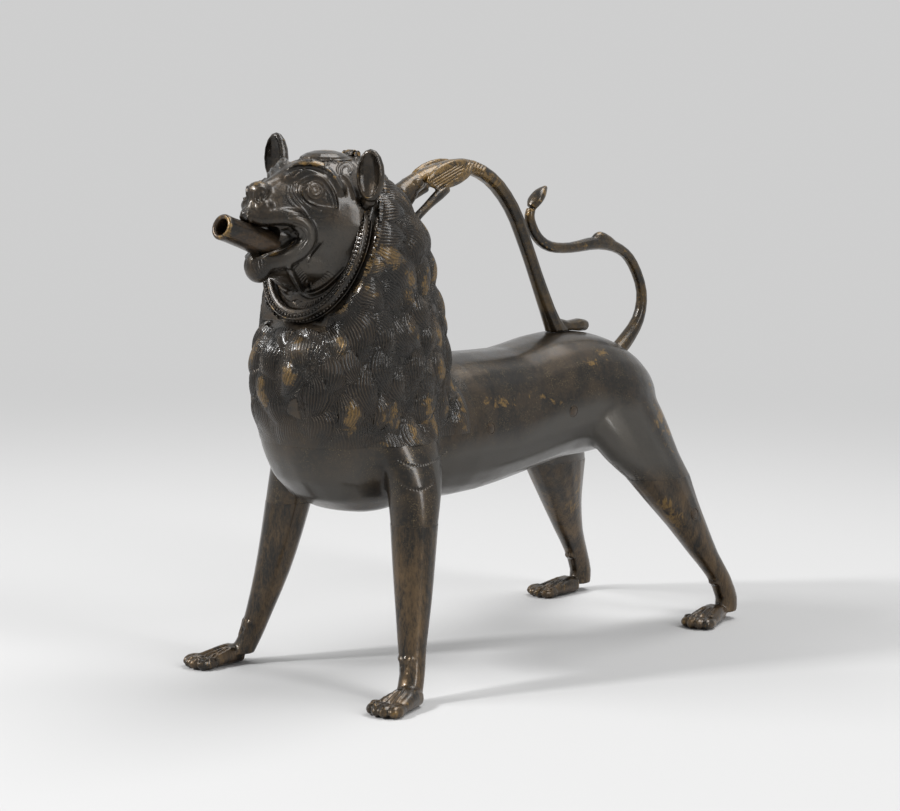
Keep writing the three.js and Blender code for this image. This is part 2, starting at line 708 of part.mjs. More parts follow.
// An arc of a flat band round the cheeks and under the jaw, open at the top between the ears
function faceCollar() {
  const steps = 30;
  const start = radians(COLLAR_END_DEG);
  const rings = Array.from({ length: steps + 1 }, (_, i) => {
    const angle = start - (i / steps) * (Math.PI + 2 * start);
    const out = new THREE.Vector3(COLLAR_HALF_WIDTH * Math.cos(angle), 0, 0)
      .addScaledVector(collarUp, COLLAR_HALF_HEIGHT * Math.sin(angle));
    const normal = new THREE.Vector3(Math.cos(angle) / COLLAR_HALF_WIDTH, 0, 0)
      .addScaledVector(collarUp, Math.sin(angle) / COLLAR_HALF_HEIGHT)
      .normalize();
    const ahead = -COLLAR_WIDTH / 2 - 2 * SEAM_GAP;
    const middle = collarCentre.clone().add(out).addScaledVector(collarBack, ahead);
    return oval(COLLAR_THICKNESS, COLLAR_WIDTH / 2, 3, 8)
      .map(([u, v]) => middle.clone().addScaledVector(normal, u).addScaledVector(collarBack, v));
  });
  return loft(rings).subtract(headOuter(SEAM_GAP));
}

function ear(side) {
  const z = EAR_Z - side * EAR_LEAN;
  const turn = side * radians(EAR_TURN_DEG);
  const facing = new THREE.Vector3(0, -1, 0).applyAxisAngle(new THREE.Vector3(0, 0, 1), turn);
  const cup = EAR_HALF_DEPTH * 0.8;
  const outer = ellipsoid(side * EAR_X, EAR_Y, z, EAR_HALF_WIDTH, EAR_HALF_DEPTH, EAR_HALF_HEIGHT, { turn });
  const inner = ellipsoid(
    side * EAR_X + facing.x * cup,
    EAR_Y + facing.y * cup,
    z + 0.5,
    EAR_HALF_WIDTH - EAR_RIM,
    EAR_HALF_DEPTH + 0.6,
    EAR_HALF_HEIGHT - EAR_RIM,
    { turn },
  );
  const stem = bodyAlongRoute([
    [side * (EAR_X - 9), EAR_Y + 3, z - EAR_HALF_HEIGHT - 3, 4, 4],
    [side * (EAR_X - 3), EAR_Y + 2, z - EAR_HALF_HEIGHT + 1, 4.5, 4],
    [side * EAR_X, EAR_Y + 2, z - EAR_HALF_HEIGHT + 7, 4, 3],
  ], { sides: 10, steps: 2 });
  return without(
    joined(outer.subtract(inner), stem.subtract(inner)),
    headOuter(SEAM_GAP),
    bodyOuter(SEAM_GAP),
    faceCollarRoom(),
  );
}

// The space that the collar takes up, with its clearance
function faceCollarRoom() {
  const room = COLLAR_THICKNESS + SEAM_GAP;
  const at = (u, v, back) => collarCentre.clone()
    .addScaledVector(collarBack, back)
    .addScaledVector(collarUp, v)
    .setX(u);
  const rim = (back) => oval(COLLAR_HALF_WIDTH + room, COLLAR_HALF_HEIGHT + room, 2, 40)
    .map(([u, v]) => at(u, v, back));
  const ring = loft([rim(-COLLAR_WIDTH - 3 * SEAM_GAP), rim(0)]);
  const arcTop = COLLAR_Z + COLLAR_HALF_HEIGHT * Math.sin(radians(COLLAR_END_DEG)) + COLLAR_THICKNESS;
  return ring.intersect(block(-90, 90, -60, 120, 150, arcTop));
}

// Legs

function paw(side, x, y, turnDeg) {
  const toes = Array.from({ length: TOE_COUNT }, (_, i) => {
    const across = (i - (TOE_COUNT - 1) / 2) * ((2 * PAW_HALF_WIDTH - TOE_RADIUS) / (TOE_COUNT - 0.6));
    const back = Math.abs(i - (TOE_COUNT - 1) / 2) * 2.2;
    return ellipsoid(across, -PAW_LENGTH / 2 + 5.5 + back, TOE_RADIUS * 0.95, TOE_RADIUS, 7.5, TOE_RADIUS, {
      sides: 8,
      rows: 6,
    });
  });
  const pad = bodyAlongY([
    [-PAW_LENGTH / 2 + 6, 5, 0, PAW_HALF_WIDTH - 3.5],
    [-PAW_LENGTH / 2 + 12, 7.5, 0, PAW_HALF_WIDTH - 1],
    [-PAW_LENGTH / 2 + 21, PAW_HEIGHT, 0, PAW_HALF_WIDTH - 1.5],
    [-PAW_LENGTH / 2 + 30, PAW_HEIGHT + 2, 0, PAW_HALF_WIDTH - 3],
    [PAW_LENGTH / 2 - 1, PAW_HEIGHT, 0.6, PAW_HALF_WIDTH - 4.5],
  ], { sides: 14, steps: 2, power: 2.6 });
  const turned = joined(pad, ...toes).rotate([0, 0, side * turnDeg]).translate([side * x, y, 0]);
  return turned.intersect(block(-200, 200, -60, 400, 0.5, 60)).translate([0, 0, -0.5]);
}

function frontLeg(side) {
  const top = LEG_JOINT_Z - SEAM_GAP;
  const row = (z, x, y, a, b) => [z, y - b, y + b, a, side * x];
  const limb = bodyAlongZ([
    row(6, FRONT_PAW_X - 6, FRONT_PAW_Y + 16, 7.2, 8),
    row(16, FRONT_PAW_X - 8.5, FRONT_PAW_Y + 21, 6.8, 7.6),
    row(32, FRONT_PAW_X - 12.5, FRONT_PAW_Y + 25, 8, 8.6),
    row(55, FRONT_LEG_X + 6.6, FRONT_LEG_Y - 7, 10.2, 10.8),
    row(78, FRONT_LEG_X + 2.8, FRONT_LEG_Y - 3, 12, 12.6),
    row(LEG_JOINT_Z, FRONT_LEG_X, FRONT_LEG_Y, 13.5, 13.8),
  ], { sides: 16, steps: 2 });
  const foot = paw(side, FRONT_PAW_X, FRONT_PAW_Y, 8);
  return joined(limb, foot).intersect(block(-200, 200, -60, 200, 0, top)).subtract(chestSolid(SEAM_GAP));
}

function hindLeg(side) {
  const top = LEG_JOINT_Z - SEAM_GAP;
  const row = (z, x, y, a, b) => [z, y - b, y + b, a, side * x];
  const limb = bodyAlongZ([
    row(5, HIND_PAW_X - 2.5, HIND_PAW_Y + 24, 7, 8.2),
    row(14, HIND_PAW_X - 2.5, HIND_PAW_Y + 25, 6.4, 8.2),
    row(29, HIND_PAW_X - 4, HIND_PAW_Y + 17.5, 7, 9),
    row(45, HIND_LEG_X + 13.5, HIND_LEG_Y + 32.5, 8.6, 11),
    row(65, HIND_LEG_X + 9, HIND_LEG_Y + 19.5, 11.4, 15.2),
    row(81, HIND_LEG_X + 4.5, HIND_LEG_Y + 9.5, 13.5, 20.2),
    row(LEG_JOINT_Z, HIND_LEG_X, HIND_LEG_Y, 15, 26.5),
  ], { sides: 16, steps: 2 });
  const foot = paw(side, HIND_PAW_X, HIND_PAW_Y, 10);
  return joined(limb, foot).intersect(block(-200, 200, 100, 400, 0, top));
}

// Dragon handle

const archRows = [
  [0, 84, 268, 5.6, 5.4],
  [0, 94.8, 280, 6.4, 6.4],
  [0, 103, 287, 4.8, 4.8],
  [0, 115.7, HANDLE_TOP_Z - 4.4, HANDLE_HALF_WIDTH, HANDLE_HALF_DEPTH],
  [0, 143.3, HANDLE_TOP_Z, HANDLE_HALF_WIDTH, HANDLE_HALF_DEPTH],
  [0, 168.4, HANDLE_TOP_Z - 7.7, HANDLE_HALF_WIDTH, HANDLE_HALF_DEPTH],
  [0, 189, HANDLE_TOP_Z - 26, HANDLE_HALF_WIDTH - 0.6, HANDLE_HALF_DEPTH],
  [0, 203.8, HANDLE_TOP_Z - 50.8, HANDLE_HALF_WIDTH - 1, HANDLE_HALF_DEPTH - 0.3],
  [0, HANDLE_FOOT_Y - 15, 221, HANDLE_HALF_WIDTH - 1, HANDLE_HALF_DEPTH],
  [0, HANDLE_FOOT_Y - 2, 197.5, HANDLE_HALF_WIDTH, HANDLE_HALF_DEPTH + 1],
  [0, HANDLE_FOOT_Y + 8, 184, HANDLE_HALF_WIDTH + 2, HANDLE_HALF_DEPTH + 4],
];

function archSolid(grow) {
  return joined(
    bodyAlongRoute(archRows, { sides: 10, steps: 3, grow }),
    bodyAlongRoute([
      [0, HANDLE_FOOT_Y - 4, 198, 4, 4],
      [0, HANDLE_FOOT_Y + 12, 193, 5, 4.5],
      [0, HANDLE_FOOT_Y + 24, 194, 5.4, 4.2],
      [0, HANDLE_FOOT_Y + 31, 193, 3.5, 3.4],
    ], { sides: 10, steps: 2, grow }),
  );
}

function dragonHandle() {
  const ears = [1, -1].map((side) => dragonEar(side, 0));
  return joined(archSolid(0), ...ears).subtract(bodyOuter(SEAM_GAP));
}

function dragonWing(side) {
  const x = side * (HANDLE_HALF_WIDTH + WING_HALF_THICKNESS * 0.55);
  const half = [WING_HALF_THICKNESS, WING_HALF_LENGTH, WING_HALF_HEIGHT];
  const blade = ellipsoid(x, 126, HANDLE_TOP_Z - 4.5, ...half, { tilt: radians(12) });
  return without(blade, archSolid(SEAM_GAP), bodyOuter(SEAM_GAP), dragonEar(side, SEAM_GAP));
}

function dragonEar(side, gap) {
  const half = [2.2 + gap, 4.5 + gap, 2.6 + gap];
  return ellipsoid(side * 5, 101, HANDLE_TOP_Z - 9, ...half, { sides: 10, rows: 8 });
}

function dragonForeleg(side) {
  const x = HANDLE_HALF_WIDTH + FORELEG_RADIUS;
  const limb = bodyAlongRoute([
    [side * x, 122, HANDLE_TOP_Z - 13, FORELEG_RADIUS, FORELEG_RADIUS],
    [side * (x + 1.5), 114, HANDLE_TOP_Z - 16, FORELEG_RADIUS + 0.6, FORELEG_RADIUS + 0.8],
    [side * (x + 2), 104, HANDLE_TOP_Z - 22, FORELEG_RADIUS, FORELEG_RADIUS],
    [side * (x + 2), 94, HANDLE_TOP_Z - 29, FORELEG_RADIUS, FORELEG_RADIUS],
  ], { sides: 10, steps: 2 });
  return without(limb, archSolid(SEAM_GAP), bodyOuter(SEAM_GAP), wingRoom(side), dragonEar(side, SEAM_GAP));
}

function wingRoom(side) {
  const gap = SEAM_GAP;
  const x = side * (HANDLE_HALF_WIDTH + WING_HALF_THICKNESS * 0.55);
  const half = [WING_HALF_THICKNESS + gap, WING_HALF_LENGTH + gap, WING_HALF_HEIGHT + gap];
  return ellipsoid(x, 126, HANDLE_TOP_Z - 4.5, ...half, { tilt: radians(12) });
}

// Tail

const tailRows = [
  [0, 292, 172, TAIL_ROOT_RADIUS, TAIL_ROOT_RADIUS],
  [0, 303, 179, TAIL_ROOT_RADIUS, TAIL_ROOT_RADIUS],
  [0, TAIL_BEND_Y - 3, 193.6, TAIL_RADIUS + 0.6, TAIL_RADIUS + 0.6],
  [0, TAIL_BEND_Y, 211.6, TAIL_RADIUS, TAIL_RADIUS],
  [0, TAIL_BEND_Y - 10, 230.1, TAIL_RADIUS, TAIL_RADIUS],
  [0, 296.5, 240.4, TAIL_RADIUS, TAIL_RADIUS],
  [0, 274.1, 245.3, TAIL_RADIUS + 0.8, TAIL_RADIUS + 0.8],
  [0, 246.7, 243.5, TAIL_RADIUS, TAIL_RADIUS],
  [0, 226.5, 245.1, TAIL_RADIUS, TAIL_RADIUS],
  [0, 213.9, 251.8, TAIL_RADIUS, TAIL_RADIUS],
  [0, 207, 262.5, TAIL_RADIUS - 0.2, TAIL_RADIUS - 0.2],
  [0, 208, 269, TAIL_RADIUS - 0.6, TAIL_RADIUS - 0.6],
];

function lionTail() {
  const tail = bodyAlongRoute(tailRows, { sides: 10, steps: 3 });
  return without(tail, archSolid(SEAM_GAP), bodyOuter(SEAM_GAP));
}

function tailTuft() {
  return bodyAlongRoute([
    [0, 208.4, 269.4 + 2 * SEAM_GAP, TAIL_RADIUS - 0.6, TAIL_RADIUS - 0.6],
    [0, 211.5, 274, TUFT_HALF_WIDTH, TUFT_HALF_DEPTH],
    [0, 216.5, 278.5, TUFT_HALF_WIDTH - 1, TUFT_HALF_DEPTH],
    [0, 222, 282.5, 1.2, 1.2],
  ], { sides: 12, steps: 3 }).subtract(tailEnd());
}

function tailEnd() {
  return bodyAlongRoute(tailRows.slice(-4), { sides: 12, steps: 3, grow: SEAM_GAP });
}

// Founder's patch and plugs

function patchBox(extra) {
  const w = PATCH_WIDTH / 2 + extra;
  const l = PATCH_LENGTH / 2 + extra;
  return block(-w, w, PATCH_Y - l, PATCH_Y + l, BELLY_Z - 10, BELLY_Z + 20);
}

const plugPlaces = {
  core_plug_left_flank: [1, 128, BELLY_Z + 44],
  core_plug_right_flank: [-1, 128, BELLY_Z + 44],
  core_plug_left_loin: [1, 205, BELLY_Z + 47],
  core_plug_right_loin: [-1, 205, BELLY_Z + 47],
};

function plugRod([side, y, z], radius) {
  const from = new THREE.Vector3(side * (TRUNK_HALF_WIDTH - 3 * WALL), y, z);
  const to = new THREE.Vector3(side * (TRUNK_HALF_WIDTH + 20), y, z);
  return rod(from, to, radius, 24);
}

// A plug's rod square to the hind leg's outer face, half way down the leg
function legPlugRod(side, radius, depth) {
  const z = LEG_JOINT_Z - 24;
  const outer = HIND_LEG_X + 17;
  const from = new THREE.Vector3(side * (outer - depth), HIND_LEG_Y + 15, z);
  const to = new THREE.Vector3(side * (outer + 12), HIND_LEG_Y + 15, z);
  return rod(from, to, radius, 24);
}

// Assembly

const lion = new THREE.Group();

function place(name, solid, color, roughness = 0.42) {
  const material = new THREE.MeshStandardMaterial({ color, roughness, metalness: 0.9 });
  const mesh = new THREE.Mesh(geometryOf(solid), material);
  mesh.name = name;
  lion.add(mesh);
}

const skin = bodyOuter();
const locks = maneLocks(skin).subtract(archSolid(SEAM_GAP));
const wall = skin.add(locks).subtract(faceRoom()).subtract(bodyHollow());
const plugs = Object.entries(plugPlaces);
const holes = plugs.map(([, at]) => plugRod(at, PLUG_RADIUS + SEAM_GAP));
const shell = without(wall, patchBox(SEAM_GAP), ...holes);
const barrelJointY = CHEST_BACK_Y + BARREL_JOINT_BACKSET;
const neckJointZ = collarBottom();
const across = [-BEYOND, BEYOND];
const aboveNeckJoint = block(...across, -BEYOND, BEYOND, neckJointZ, BEYOND);
const behindBarrelJoint = block(...across, barrelJointY, BEYOND, 0, neckJointZ);
const belowNeckJoint = block(...across, -BEYOND, BEYOND, 0, neckJointZ - SEAM_GAP);
const aheadOfBarrelJoint = block(...across, -BEYOND, barrelJointY - SEAM_GAP, 0, BEYOND);

place('body_shell', shell.intersect(behindBarrelJoint), 0x2b2018);
place('chest_shell', shell.intersect(belowNeckJoint).intersect(aheadOfBarrelJoint), 0x2b2018);
place('neck_shell', shell.intersect(aboveNeckJoint), 0x2b2018);
place('head_shell', headShell(), 0x2e2219);
place('face_collar', faceCollar(), 0x3a2a1c);
place('left_ear', ear(1), 0x4a3522);
place('right_ear', ear(-1), 0x4a3522);
place('filling_lid', fillingLid(), 0x54391f);
place('lid_hinge_pin', hingePin(), 0x8a7a62, 0.3);
place('spout_tube', spoutTube(), 0x3b2c20, 0.35);
place('front_left_leg', frontLeg(1), 0x33261a);
place('front_right_leg', frontLeg(-1), 0x33261a);
for (const [name, side] of [['hind_left_leg', 1], ['hind_right_leg', -1]]) {
  const seat = legPlugRod(side, PLUG_RADIUS + SEAM_GAP, LEG_PLUG_DEPTH + SEAM_GAP);
  place(name, hindLeg(side).subtract(seat), 0x33261a);
}
place('dragon_handle', dragonHandle(), 0x5a4126, 0.38);
place('dragon_left_wing', dragonWing(1), 0x6b4d2a, 0.38);
place('dragon_right_wing', dragonWing(-1), 0x6b4d2a, 0.38);
place('dragon_left_foreleg', dragonForeleg(1), 0x4a3522);
place('dragon_right_foreleg', dragonForeleg(-1), 0x4a3522);
place('lion_tail', lionTail(), 0x3b2b1d);
place('tail_tuft', tailTuft(), 0x4d3823);
place('belly_patch', bodyOuter().subtract(bodyHollow()).intersect(patchBox(0)), 0x3d2e22, 0.5);
for (const [name, at] of plugs) {
  place(name, wall.intersect(plugRod(at, PLUG_RADIUS)), 0x4a3826, 0.5);
}
for (const [name, side] of [['core_plug_left_thigh', 1], ['core_plug_right_thigh', -1]]) {
  place(name, hindLeg(side).intersect(legPlugRod(side, PLUG_RADIUS, LEG_PLUG_DEPTH)), 0x4a3826, 0.5);
}

// The origin is the middle of the footprint of the whole, on the ground
const bounds = new THREE.Box3().setFromObject(lion);
lion.position.set(-(bounds.min.x + bounds.max.x) / 2, -(bounds.min.y + bounds.max.y) / 2, -bounds.min.z);

export default lion;
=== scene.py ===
"""Bronze lion aquamanile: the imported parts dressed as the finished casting.

The vessel is one skin of bronze shown in its named pieces, so its forms are
merged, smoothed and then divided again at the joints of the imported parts.
"""

import logging
import math
from dataclasses import dataclass, field
from enum import Enum
from typing import Optional, Sequence

import bpy
import numpy as np
from mathutils import Matrix, Vector
from mathutils.bvhtree import BVHTree

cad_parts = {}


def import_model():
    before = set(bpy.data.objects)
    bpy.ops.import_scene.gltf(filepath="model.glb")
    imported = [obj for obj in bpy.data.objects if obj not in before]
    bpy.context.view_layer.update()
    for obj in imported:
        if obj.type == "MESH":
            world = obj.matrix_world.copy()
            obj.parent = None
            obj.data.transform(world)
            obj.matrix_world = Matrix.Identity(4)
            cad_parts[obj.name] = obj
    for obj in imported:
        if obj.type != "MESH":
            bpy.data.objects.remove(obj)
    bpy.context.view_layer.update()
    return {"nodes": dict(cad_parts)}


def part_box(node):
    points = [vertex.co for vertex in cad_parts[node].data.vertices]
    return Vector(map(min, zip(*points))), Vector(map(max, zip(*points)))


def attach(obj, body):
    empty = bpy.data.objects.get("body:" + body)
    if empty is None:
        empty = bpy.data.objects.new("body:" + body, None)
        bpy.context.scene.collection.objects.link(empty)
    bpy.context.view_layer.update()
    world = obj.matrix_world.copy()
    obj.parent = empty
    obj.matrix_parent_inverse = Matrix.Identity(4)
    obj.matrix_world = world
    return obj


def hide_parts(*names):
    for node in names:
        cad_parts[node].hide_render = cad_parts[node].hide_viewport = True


LOG = logging.getLogger("aquamanile")
MM = 0.001
Point = tuple[float, float, float]
Spot = tuple[float, float]
Tint = tuple[float, float, float]
Piece = bpy.types.Object
Socket = bpy.types.NodeSocket

# The disc round the face: its middle in the lion's millimetres, and its lean in degrees.
COLLAR: Point = (0.0, 26.5, 253.6)
TILT = 21.8

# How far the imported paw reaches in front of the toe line, in millimetres.
PAW_REACH = 6.1437


def ramp(values: object, start: float, span: float) -> object:
    """Returns values as they run from 0 to 1 over a span.

    Args:
        values: the values to spread.
        start: the value that gives 0.
        span: how far beyond the start 1 is reached; below zero it is reached downwards.

    Returns:
        The spread values, held between 0 and 1.
    """
    return np.clip((values - start) / span, 0, 1)


class Body(Enum):
    """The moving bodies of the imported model."""

    VESSEL = "vessel"
    LID = "lid"


class Slot(Enum):
    """The material slots that the finishes fill."""

    DARK = "dark_bronze"
    WORN = "worn_bronze"
    SPOUT = "spout_bronze"
    PLUG = "plug_bronze"
    PIN = "bright_pin"


class Side(Enum):
    """The lion's own left and right."""

    LEFT = 1
    RIGHT = -1

    def of(self, x: float) -> float:
        """Returns x on this side of the lion."""
        return x * self.value


@dataclass(frozen=True)
class Measure:
    """Turns the lion's own millimetres into places in the frame.

    The lion's zero is on the floor, midway between its paws, at its front toe line.
    """

    toe_line: float

    @classmethod
    def read(cls) -> "Measure":
        """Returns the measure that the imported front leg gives."""
        low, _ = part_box("front_left_leg")
        return cls(toe_line=low.y / MM + PAW_REACH)

    def shift(self) -> np.ndarray:
        """Returns the step from the frame's zero to the lion's own, in millimetres."""
        return np.array([0, self.toe_line, 0])

    def behind(self, places: np.ndarray) -> np.ndarray:
        """Returns how far places, in millimetres, lie behind the toe line."""
        return places[:, 1] - self.toe_line

    def at(self, x: float, y: float, z: float) -> Vector:
        """Returns the place of a point given in millimetres, in metres."""
        return Vector((x, y + self.toe_line, z)) * MM

    def many(self, points: Sequence[Point]) -> list[Vector]:
        """Returns the places of several points."""
        return [self.at(*p) for p in points]


@dataclass(frozen=True)
class Viewpoint:
    """The camera's station, and the lines of sight that leave it."""

    measure: Measure
    azimuth: float = 42.589
    elevation: float = 7.739
    roll: float = 0.777
    distance: float = 1468.4
    focal: float = 2429.2
    width: int = 900
    height: int = 811
    aim: Point = (0.0, 136.23, 152.72)

    def axes(self) -> tuple[Vector, Vector, Vector]:
        """Returns the camera's right, up and backward directions."""
        a, e, r = (math.radians(v) for v in (self.azimuth, self.elevation, self.roll))
        back = Vector((math.sin(a) * math.cos(e), -math.cos(a) * math.cos(e), math.sin(e)))
        level = Vector((math.cos(a), math.sin(a), 0.0))
        rise = back.cross(level)
        right = level * math.cos(r) + rise * math.sin(r)
        up = rise * math.cos(r) - level * math.sin(r)
        return right, up, back

    def station(self) -> Vector:
        """Returns where the camera stands."""
        return self.measure.at(*self.aim) + self.axes()[2] * self.distance * MM

    def sight(self, spot: Spot) -> Vector:
        """Returns the direction of the line of sight through a spot of the picture."""
        right, up, back = self.axes()
        u = (spot[0] - self.width / 2) / self.focal
        v = (self.height / 2 - spot[1]) / self.focal
        return (right * u + up * v - back).normalized()

    def meet(self, spot: Spot, x: float) -> Vector:
        """Returns where the line of sight through a spot is x millimetres off the middle."""
        start, run = self.station(), self.sight(spot)
        return start + run * ((x * MM - start.x) / run.x)

    def project(self, places: np.ndarray) -> np.ndarray:
        """Returns the spots of the picture where places, in metres, are seen."""
        right, up, back = (np.array(axis) for axis in self.axes())
        reach = places - np.array(self.station())
        depth = -(reach @ back)
        across = self.width / 2 + self.focal * (reach @ right) / depth
        down = self.height / 2 - self.focal * (reach @ up) / depth
        return np.stack([across, down], axis=1)

    def camera(self) -> Piece:
        """Returns the scene's camera, set at the station."""
        right, up, back = self.axes()
        data = bpy.data.cameras.new("studio_camera")
        data.sensor_width = 36.0
        data.lens = self.focal / self.width * data.sensor_width
        data.clip_start, data.clip_end = 0.01, 50.0
        camera = bpy.data.objects.new("studio_camera", data)
        bpy.context.scene.collection.objects.link(camera)
        turn = Matrix((right, up, back)).transposed().to_4x4()
        camera.matrix_world = Matrix.Translation(self.station()) @ turn
        bpy.context.scene.camera = camera
        return camera


class Nodes:
    """Adds shader nodes to a node tree and joins them."""

    def __init__(self, tree: bpy.types.NodeTree) -> None:
        """Keeps the tree."""
        self.tree = tree

    def add(self, kind: str, **settings: object) -> bpy.types.Node:
        """Returns a new node with its settings."""
        node = self.tree.nodes.new(f"ShaderNode{kind}")
        for key, value in settings.items():
            setattr(node, key, value)
        return node

    def feed(self, socket: Socket, value: object) -> None:
        """Gives a socket a value, or the output of another node."""
        if isinstance(value, Socket):
            self.tree.links.new(value, socket)
        elif isinstance(value, tuple) and len(value) == 3 and socket.type == "RGBA":
            socket.default_value = (*value, 1.0)
        else:
            socket.default_value = value

    def math(self, kind: str, a: object, b: object = 0.0, clamp: bool = False) -> Socket:
        """Returns the result of a sum on two values."""
        node = self.add("Math", operation=kind, use_clamp=clamp)
        self.feed(node.inputs[0], a)
        self.feed(node.inputs[1], b)
        return node.outputs[0]

    def mix(self, share: object, a: object, b: object) -> Socket:
        """Returns a mix of two colours."""
        node = self.add("Mix", data_type="RGBA")
        self.feed(node.inputs[0], share)
        self.feed(node.inputs[6], a)
        self.feed(node.inputs[7], b)
        return node.outputs[2]

    def times(self, a: object, b: object) -> Socket:
        """Returns the product of two values."""
        return self.math("MULTIPLY", a, b)

    def plus(self, a: object, b: object, clamp: bool = False) -> Socket:
        """Returns the sum of two values, held between 0 and 1 if asked."""
        return self.math("ADD", a, b, clamp)

    def stretch(self, value: object, low: float, high: float, to: Spot = (0.0, 1.0)) -> Socket:
        """Returns a value spread from one range over another, and held inside it."""
        node = self.add("MapRange", clamp=True, interpolation_type="SMOOTHSTEP")
        self.feed(node.inputs[0], value)
        for number, bound in zip((1, 2, 3, 4), (low, high, *to)):
            node.inputs[number].default_value = bound
        return node.outputs[0]

    def noise(self, where: object, scale: object, detail: float = 4.0, rough: float = 0.55,
              bend: float = 0.0) -> Socket:
        """Returns a cloudy value."""
        node = self.add("TexNoise", noise_dimensions="3D")
        self.feed(node.inputs["Vector"], where)
        self.feed(node.inputs["Scale"], scale)
        node.inputs["Detail"].default_value = detail
        node.inputs["Roughness"].default_value = rough
        node.inputs["Distortion"].default_value = bend
        return node.outputs[0]

    def value(self, name: str) -> Socket:
        """Returns a value that the mesh carries at its points."""
        return self.add("Attribute", attribute_type="GEOMETRY", attribute_name=name).outputs["Fac"]


class Effects:
    """The effects that the bronze finishes share, each a node group built once."""

    def __init__(self) -> None:
        """Builds the groups."""
        self.mottle = self.make_mottle()
        self.rub = self.make_rub()
        self.grain = self.make_grain()
        self.fleck = self.make_fleck()
        self.combing = self.make_combing()

    @staticmethod
    def start(name: str, inputs: Sequence[tuple[str, str]], outputs: Sequence[tuple[str, str]]) -> tuple:
        """Returns an empty group, its maker, and the nodes that hold its inputs and outputs."""
        tree = bpy.data.node_groups.new(name, "ShaderNodeTree")
        for title, kind in inputs:
            tree.interface.new_socket(title, in_out="INPUT", socket_type=f"NodeSocket{kind}")
        for title, kind in outputs:
            tree.interface.new_socket(title, in_out="OUTPUT", socket_type=f"NodeSocket{kind}")
        entry = tree.nodes.new("NodeGroupInput")
        leave = tree.nodes.new("NodeGroupOutput")
        return tree, Nodes(tree), entry.outputs, leave.inputs

    def make_mottle(self) -> bpy.types.NodeTree:
        """Builds the clouded patina, from dark to brown."""
        tree, nodes, into, out = self.start(
            "patina_mottle",
            (("Vector", "Vector"), ("Scale", "Float"), ("Dark", "Color"), ("Brown", "Color")),
            (("Color", "Color"), ("Cloud", "Float")),
        )
        broad = nodes.noise(into["Vector"], into["Scale"], 5.0, 0.6, 0.4)
        fine = nodes.noise(into["Vector"], nodes.times(into["Scale"], 9.0), 4.0, 0.6)
        cloud = nodes.plus(nodes.times(broad, 0.65), nodes.times(fine, 0.35))
        share = nodes.stretch(cloud, 0.38, 0.64)
        nodes.feed(out["Color"], nodes.mix(share, into["Dark"], into["Brown"]))
        nodes.feed(out["Cloud"], share)
        return tree

    def make_rub(self) -> bpy.types.NodeTree:
        """Builds the broken edge of places rubbed down to warm metal."""
        tree, nodes, into, out = self.start(
            "rubbed_metal",
            (("Vector", "Vector"), ("Worn", "Float"), ("Scale", "Float")),
            (("Mask", "Float"),),
        )
        broad = nodes.noise(into["Vector"], into["Scale"], 6.0, 0.68, 0.6)
        spread = nodes.times(nodes.math("SUBTRACT", broad, 0.5), 2.4)
        level = nodes.plus(into["Worn"], spread)
        soft = nodes.stretch(level, 0.42, 0.66)
        some = nodes.stretch(into["Worn"], 0.02, 0.16)
        fine = nodes.noise(into["Vector"], nodes.times(into["Scale"], 4.5), 4.0, 0.65)
        mottled = nodes.times(soft, nodes.stretch(fine, 0.34, 0.56, (0.25, 1.0)))
        nodes.feed(out["Mask"], nodes.times(mottled, some))
        return tree

    def make_grain(self) -> bpy.types.NodeTree:
        """Builds the small unevenness and pits of a cast skin."""
        tree, nodes, into, out = self.start(
            "cast_grain",
            (("Vector", "Vector"), ("Scale", "Float"), ("Pits", "Float")),
            (("Height", "Float"),),
        )
        waves = nodes.noise(into["Vector"], into["Scale"], 5.0, 0.62)
        cells = nodes.add("TexVoronoi", feature="F1", distance="EUCLIDEAN")
        nodes.feed(cells.inputs["Vector"], into["Vector"])
        nodes.feed(cells.inputs["Scale"], nodes.times(into["Scale"], 1.7))
        rare = nodes.stretch(nodes.noise(into["Vector"], nodes.times(into["Scale"], 0.3)), 0.5, 0.66)
        holes = nodes.times(nodes.stretch(cells.outputs["Distance"], 0.3, 0.08), rare)
        depth = nodes.times(holes, into["Pits"])
        nodes.feed(out["Height"], nodes.math("SUBTRACT", waves, depth))
        return tree

    def make_fleck(self) -> bpy.types.NodeTree:
        """Builds the pale specks that lie in some places of the patina."""
        tree, nodes, into, out = self.start(
            "pale_flecks",
            (("Vector", "Vector"), ("Scale", "Float"), ("Amount", "Float")),
            (("Mask", "Float"),),
        )
        grains = nodes.stretch(nodes.noise(into["Vector"], into["Scale"], 3.0, 0.75), 0.56, 0.66)
        where = nodes.stretch(nodes.noise(into["Vector"], nodes.times(into["Scale"], 0.08)), 0.42, 0.6)
        mask = nodes.times(nodes.times(grains, where), into["Amount"])
        nodes.feed(out["Mask"], mask)
        return tree

    def make_combing(self) -> bpy.types.NodeTree:
        """Builds the fine lines between the strands of hair."""
        tree, nodes, into, out = self.start(
            "combed_lines",
            (("Strand", "Float"), ("Comb", "Float"), ("Vector", "Vector")),
            (("Height", "Float"),),
        )
        drift = nodes.times(nodes.noise(into["Vector"], 260.0, 2.0), 0.35)
        phase = nodes.times(nodes.plus(into["Strand"], drift), math.tau)
        wave = nodes.plus(nodes.times(nodes.math("COSINE", phase), 0.5), 0.5)
        nodes.feed(out["Height"], nodes.times(wave, into["Comb"]))
        return tree


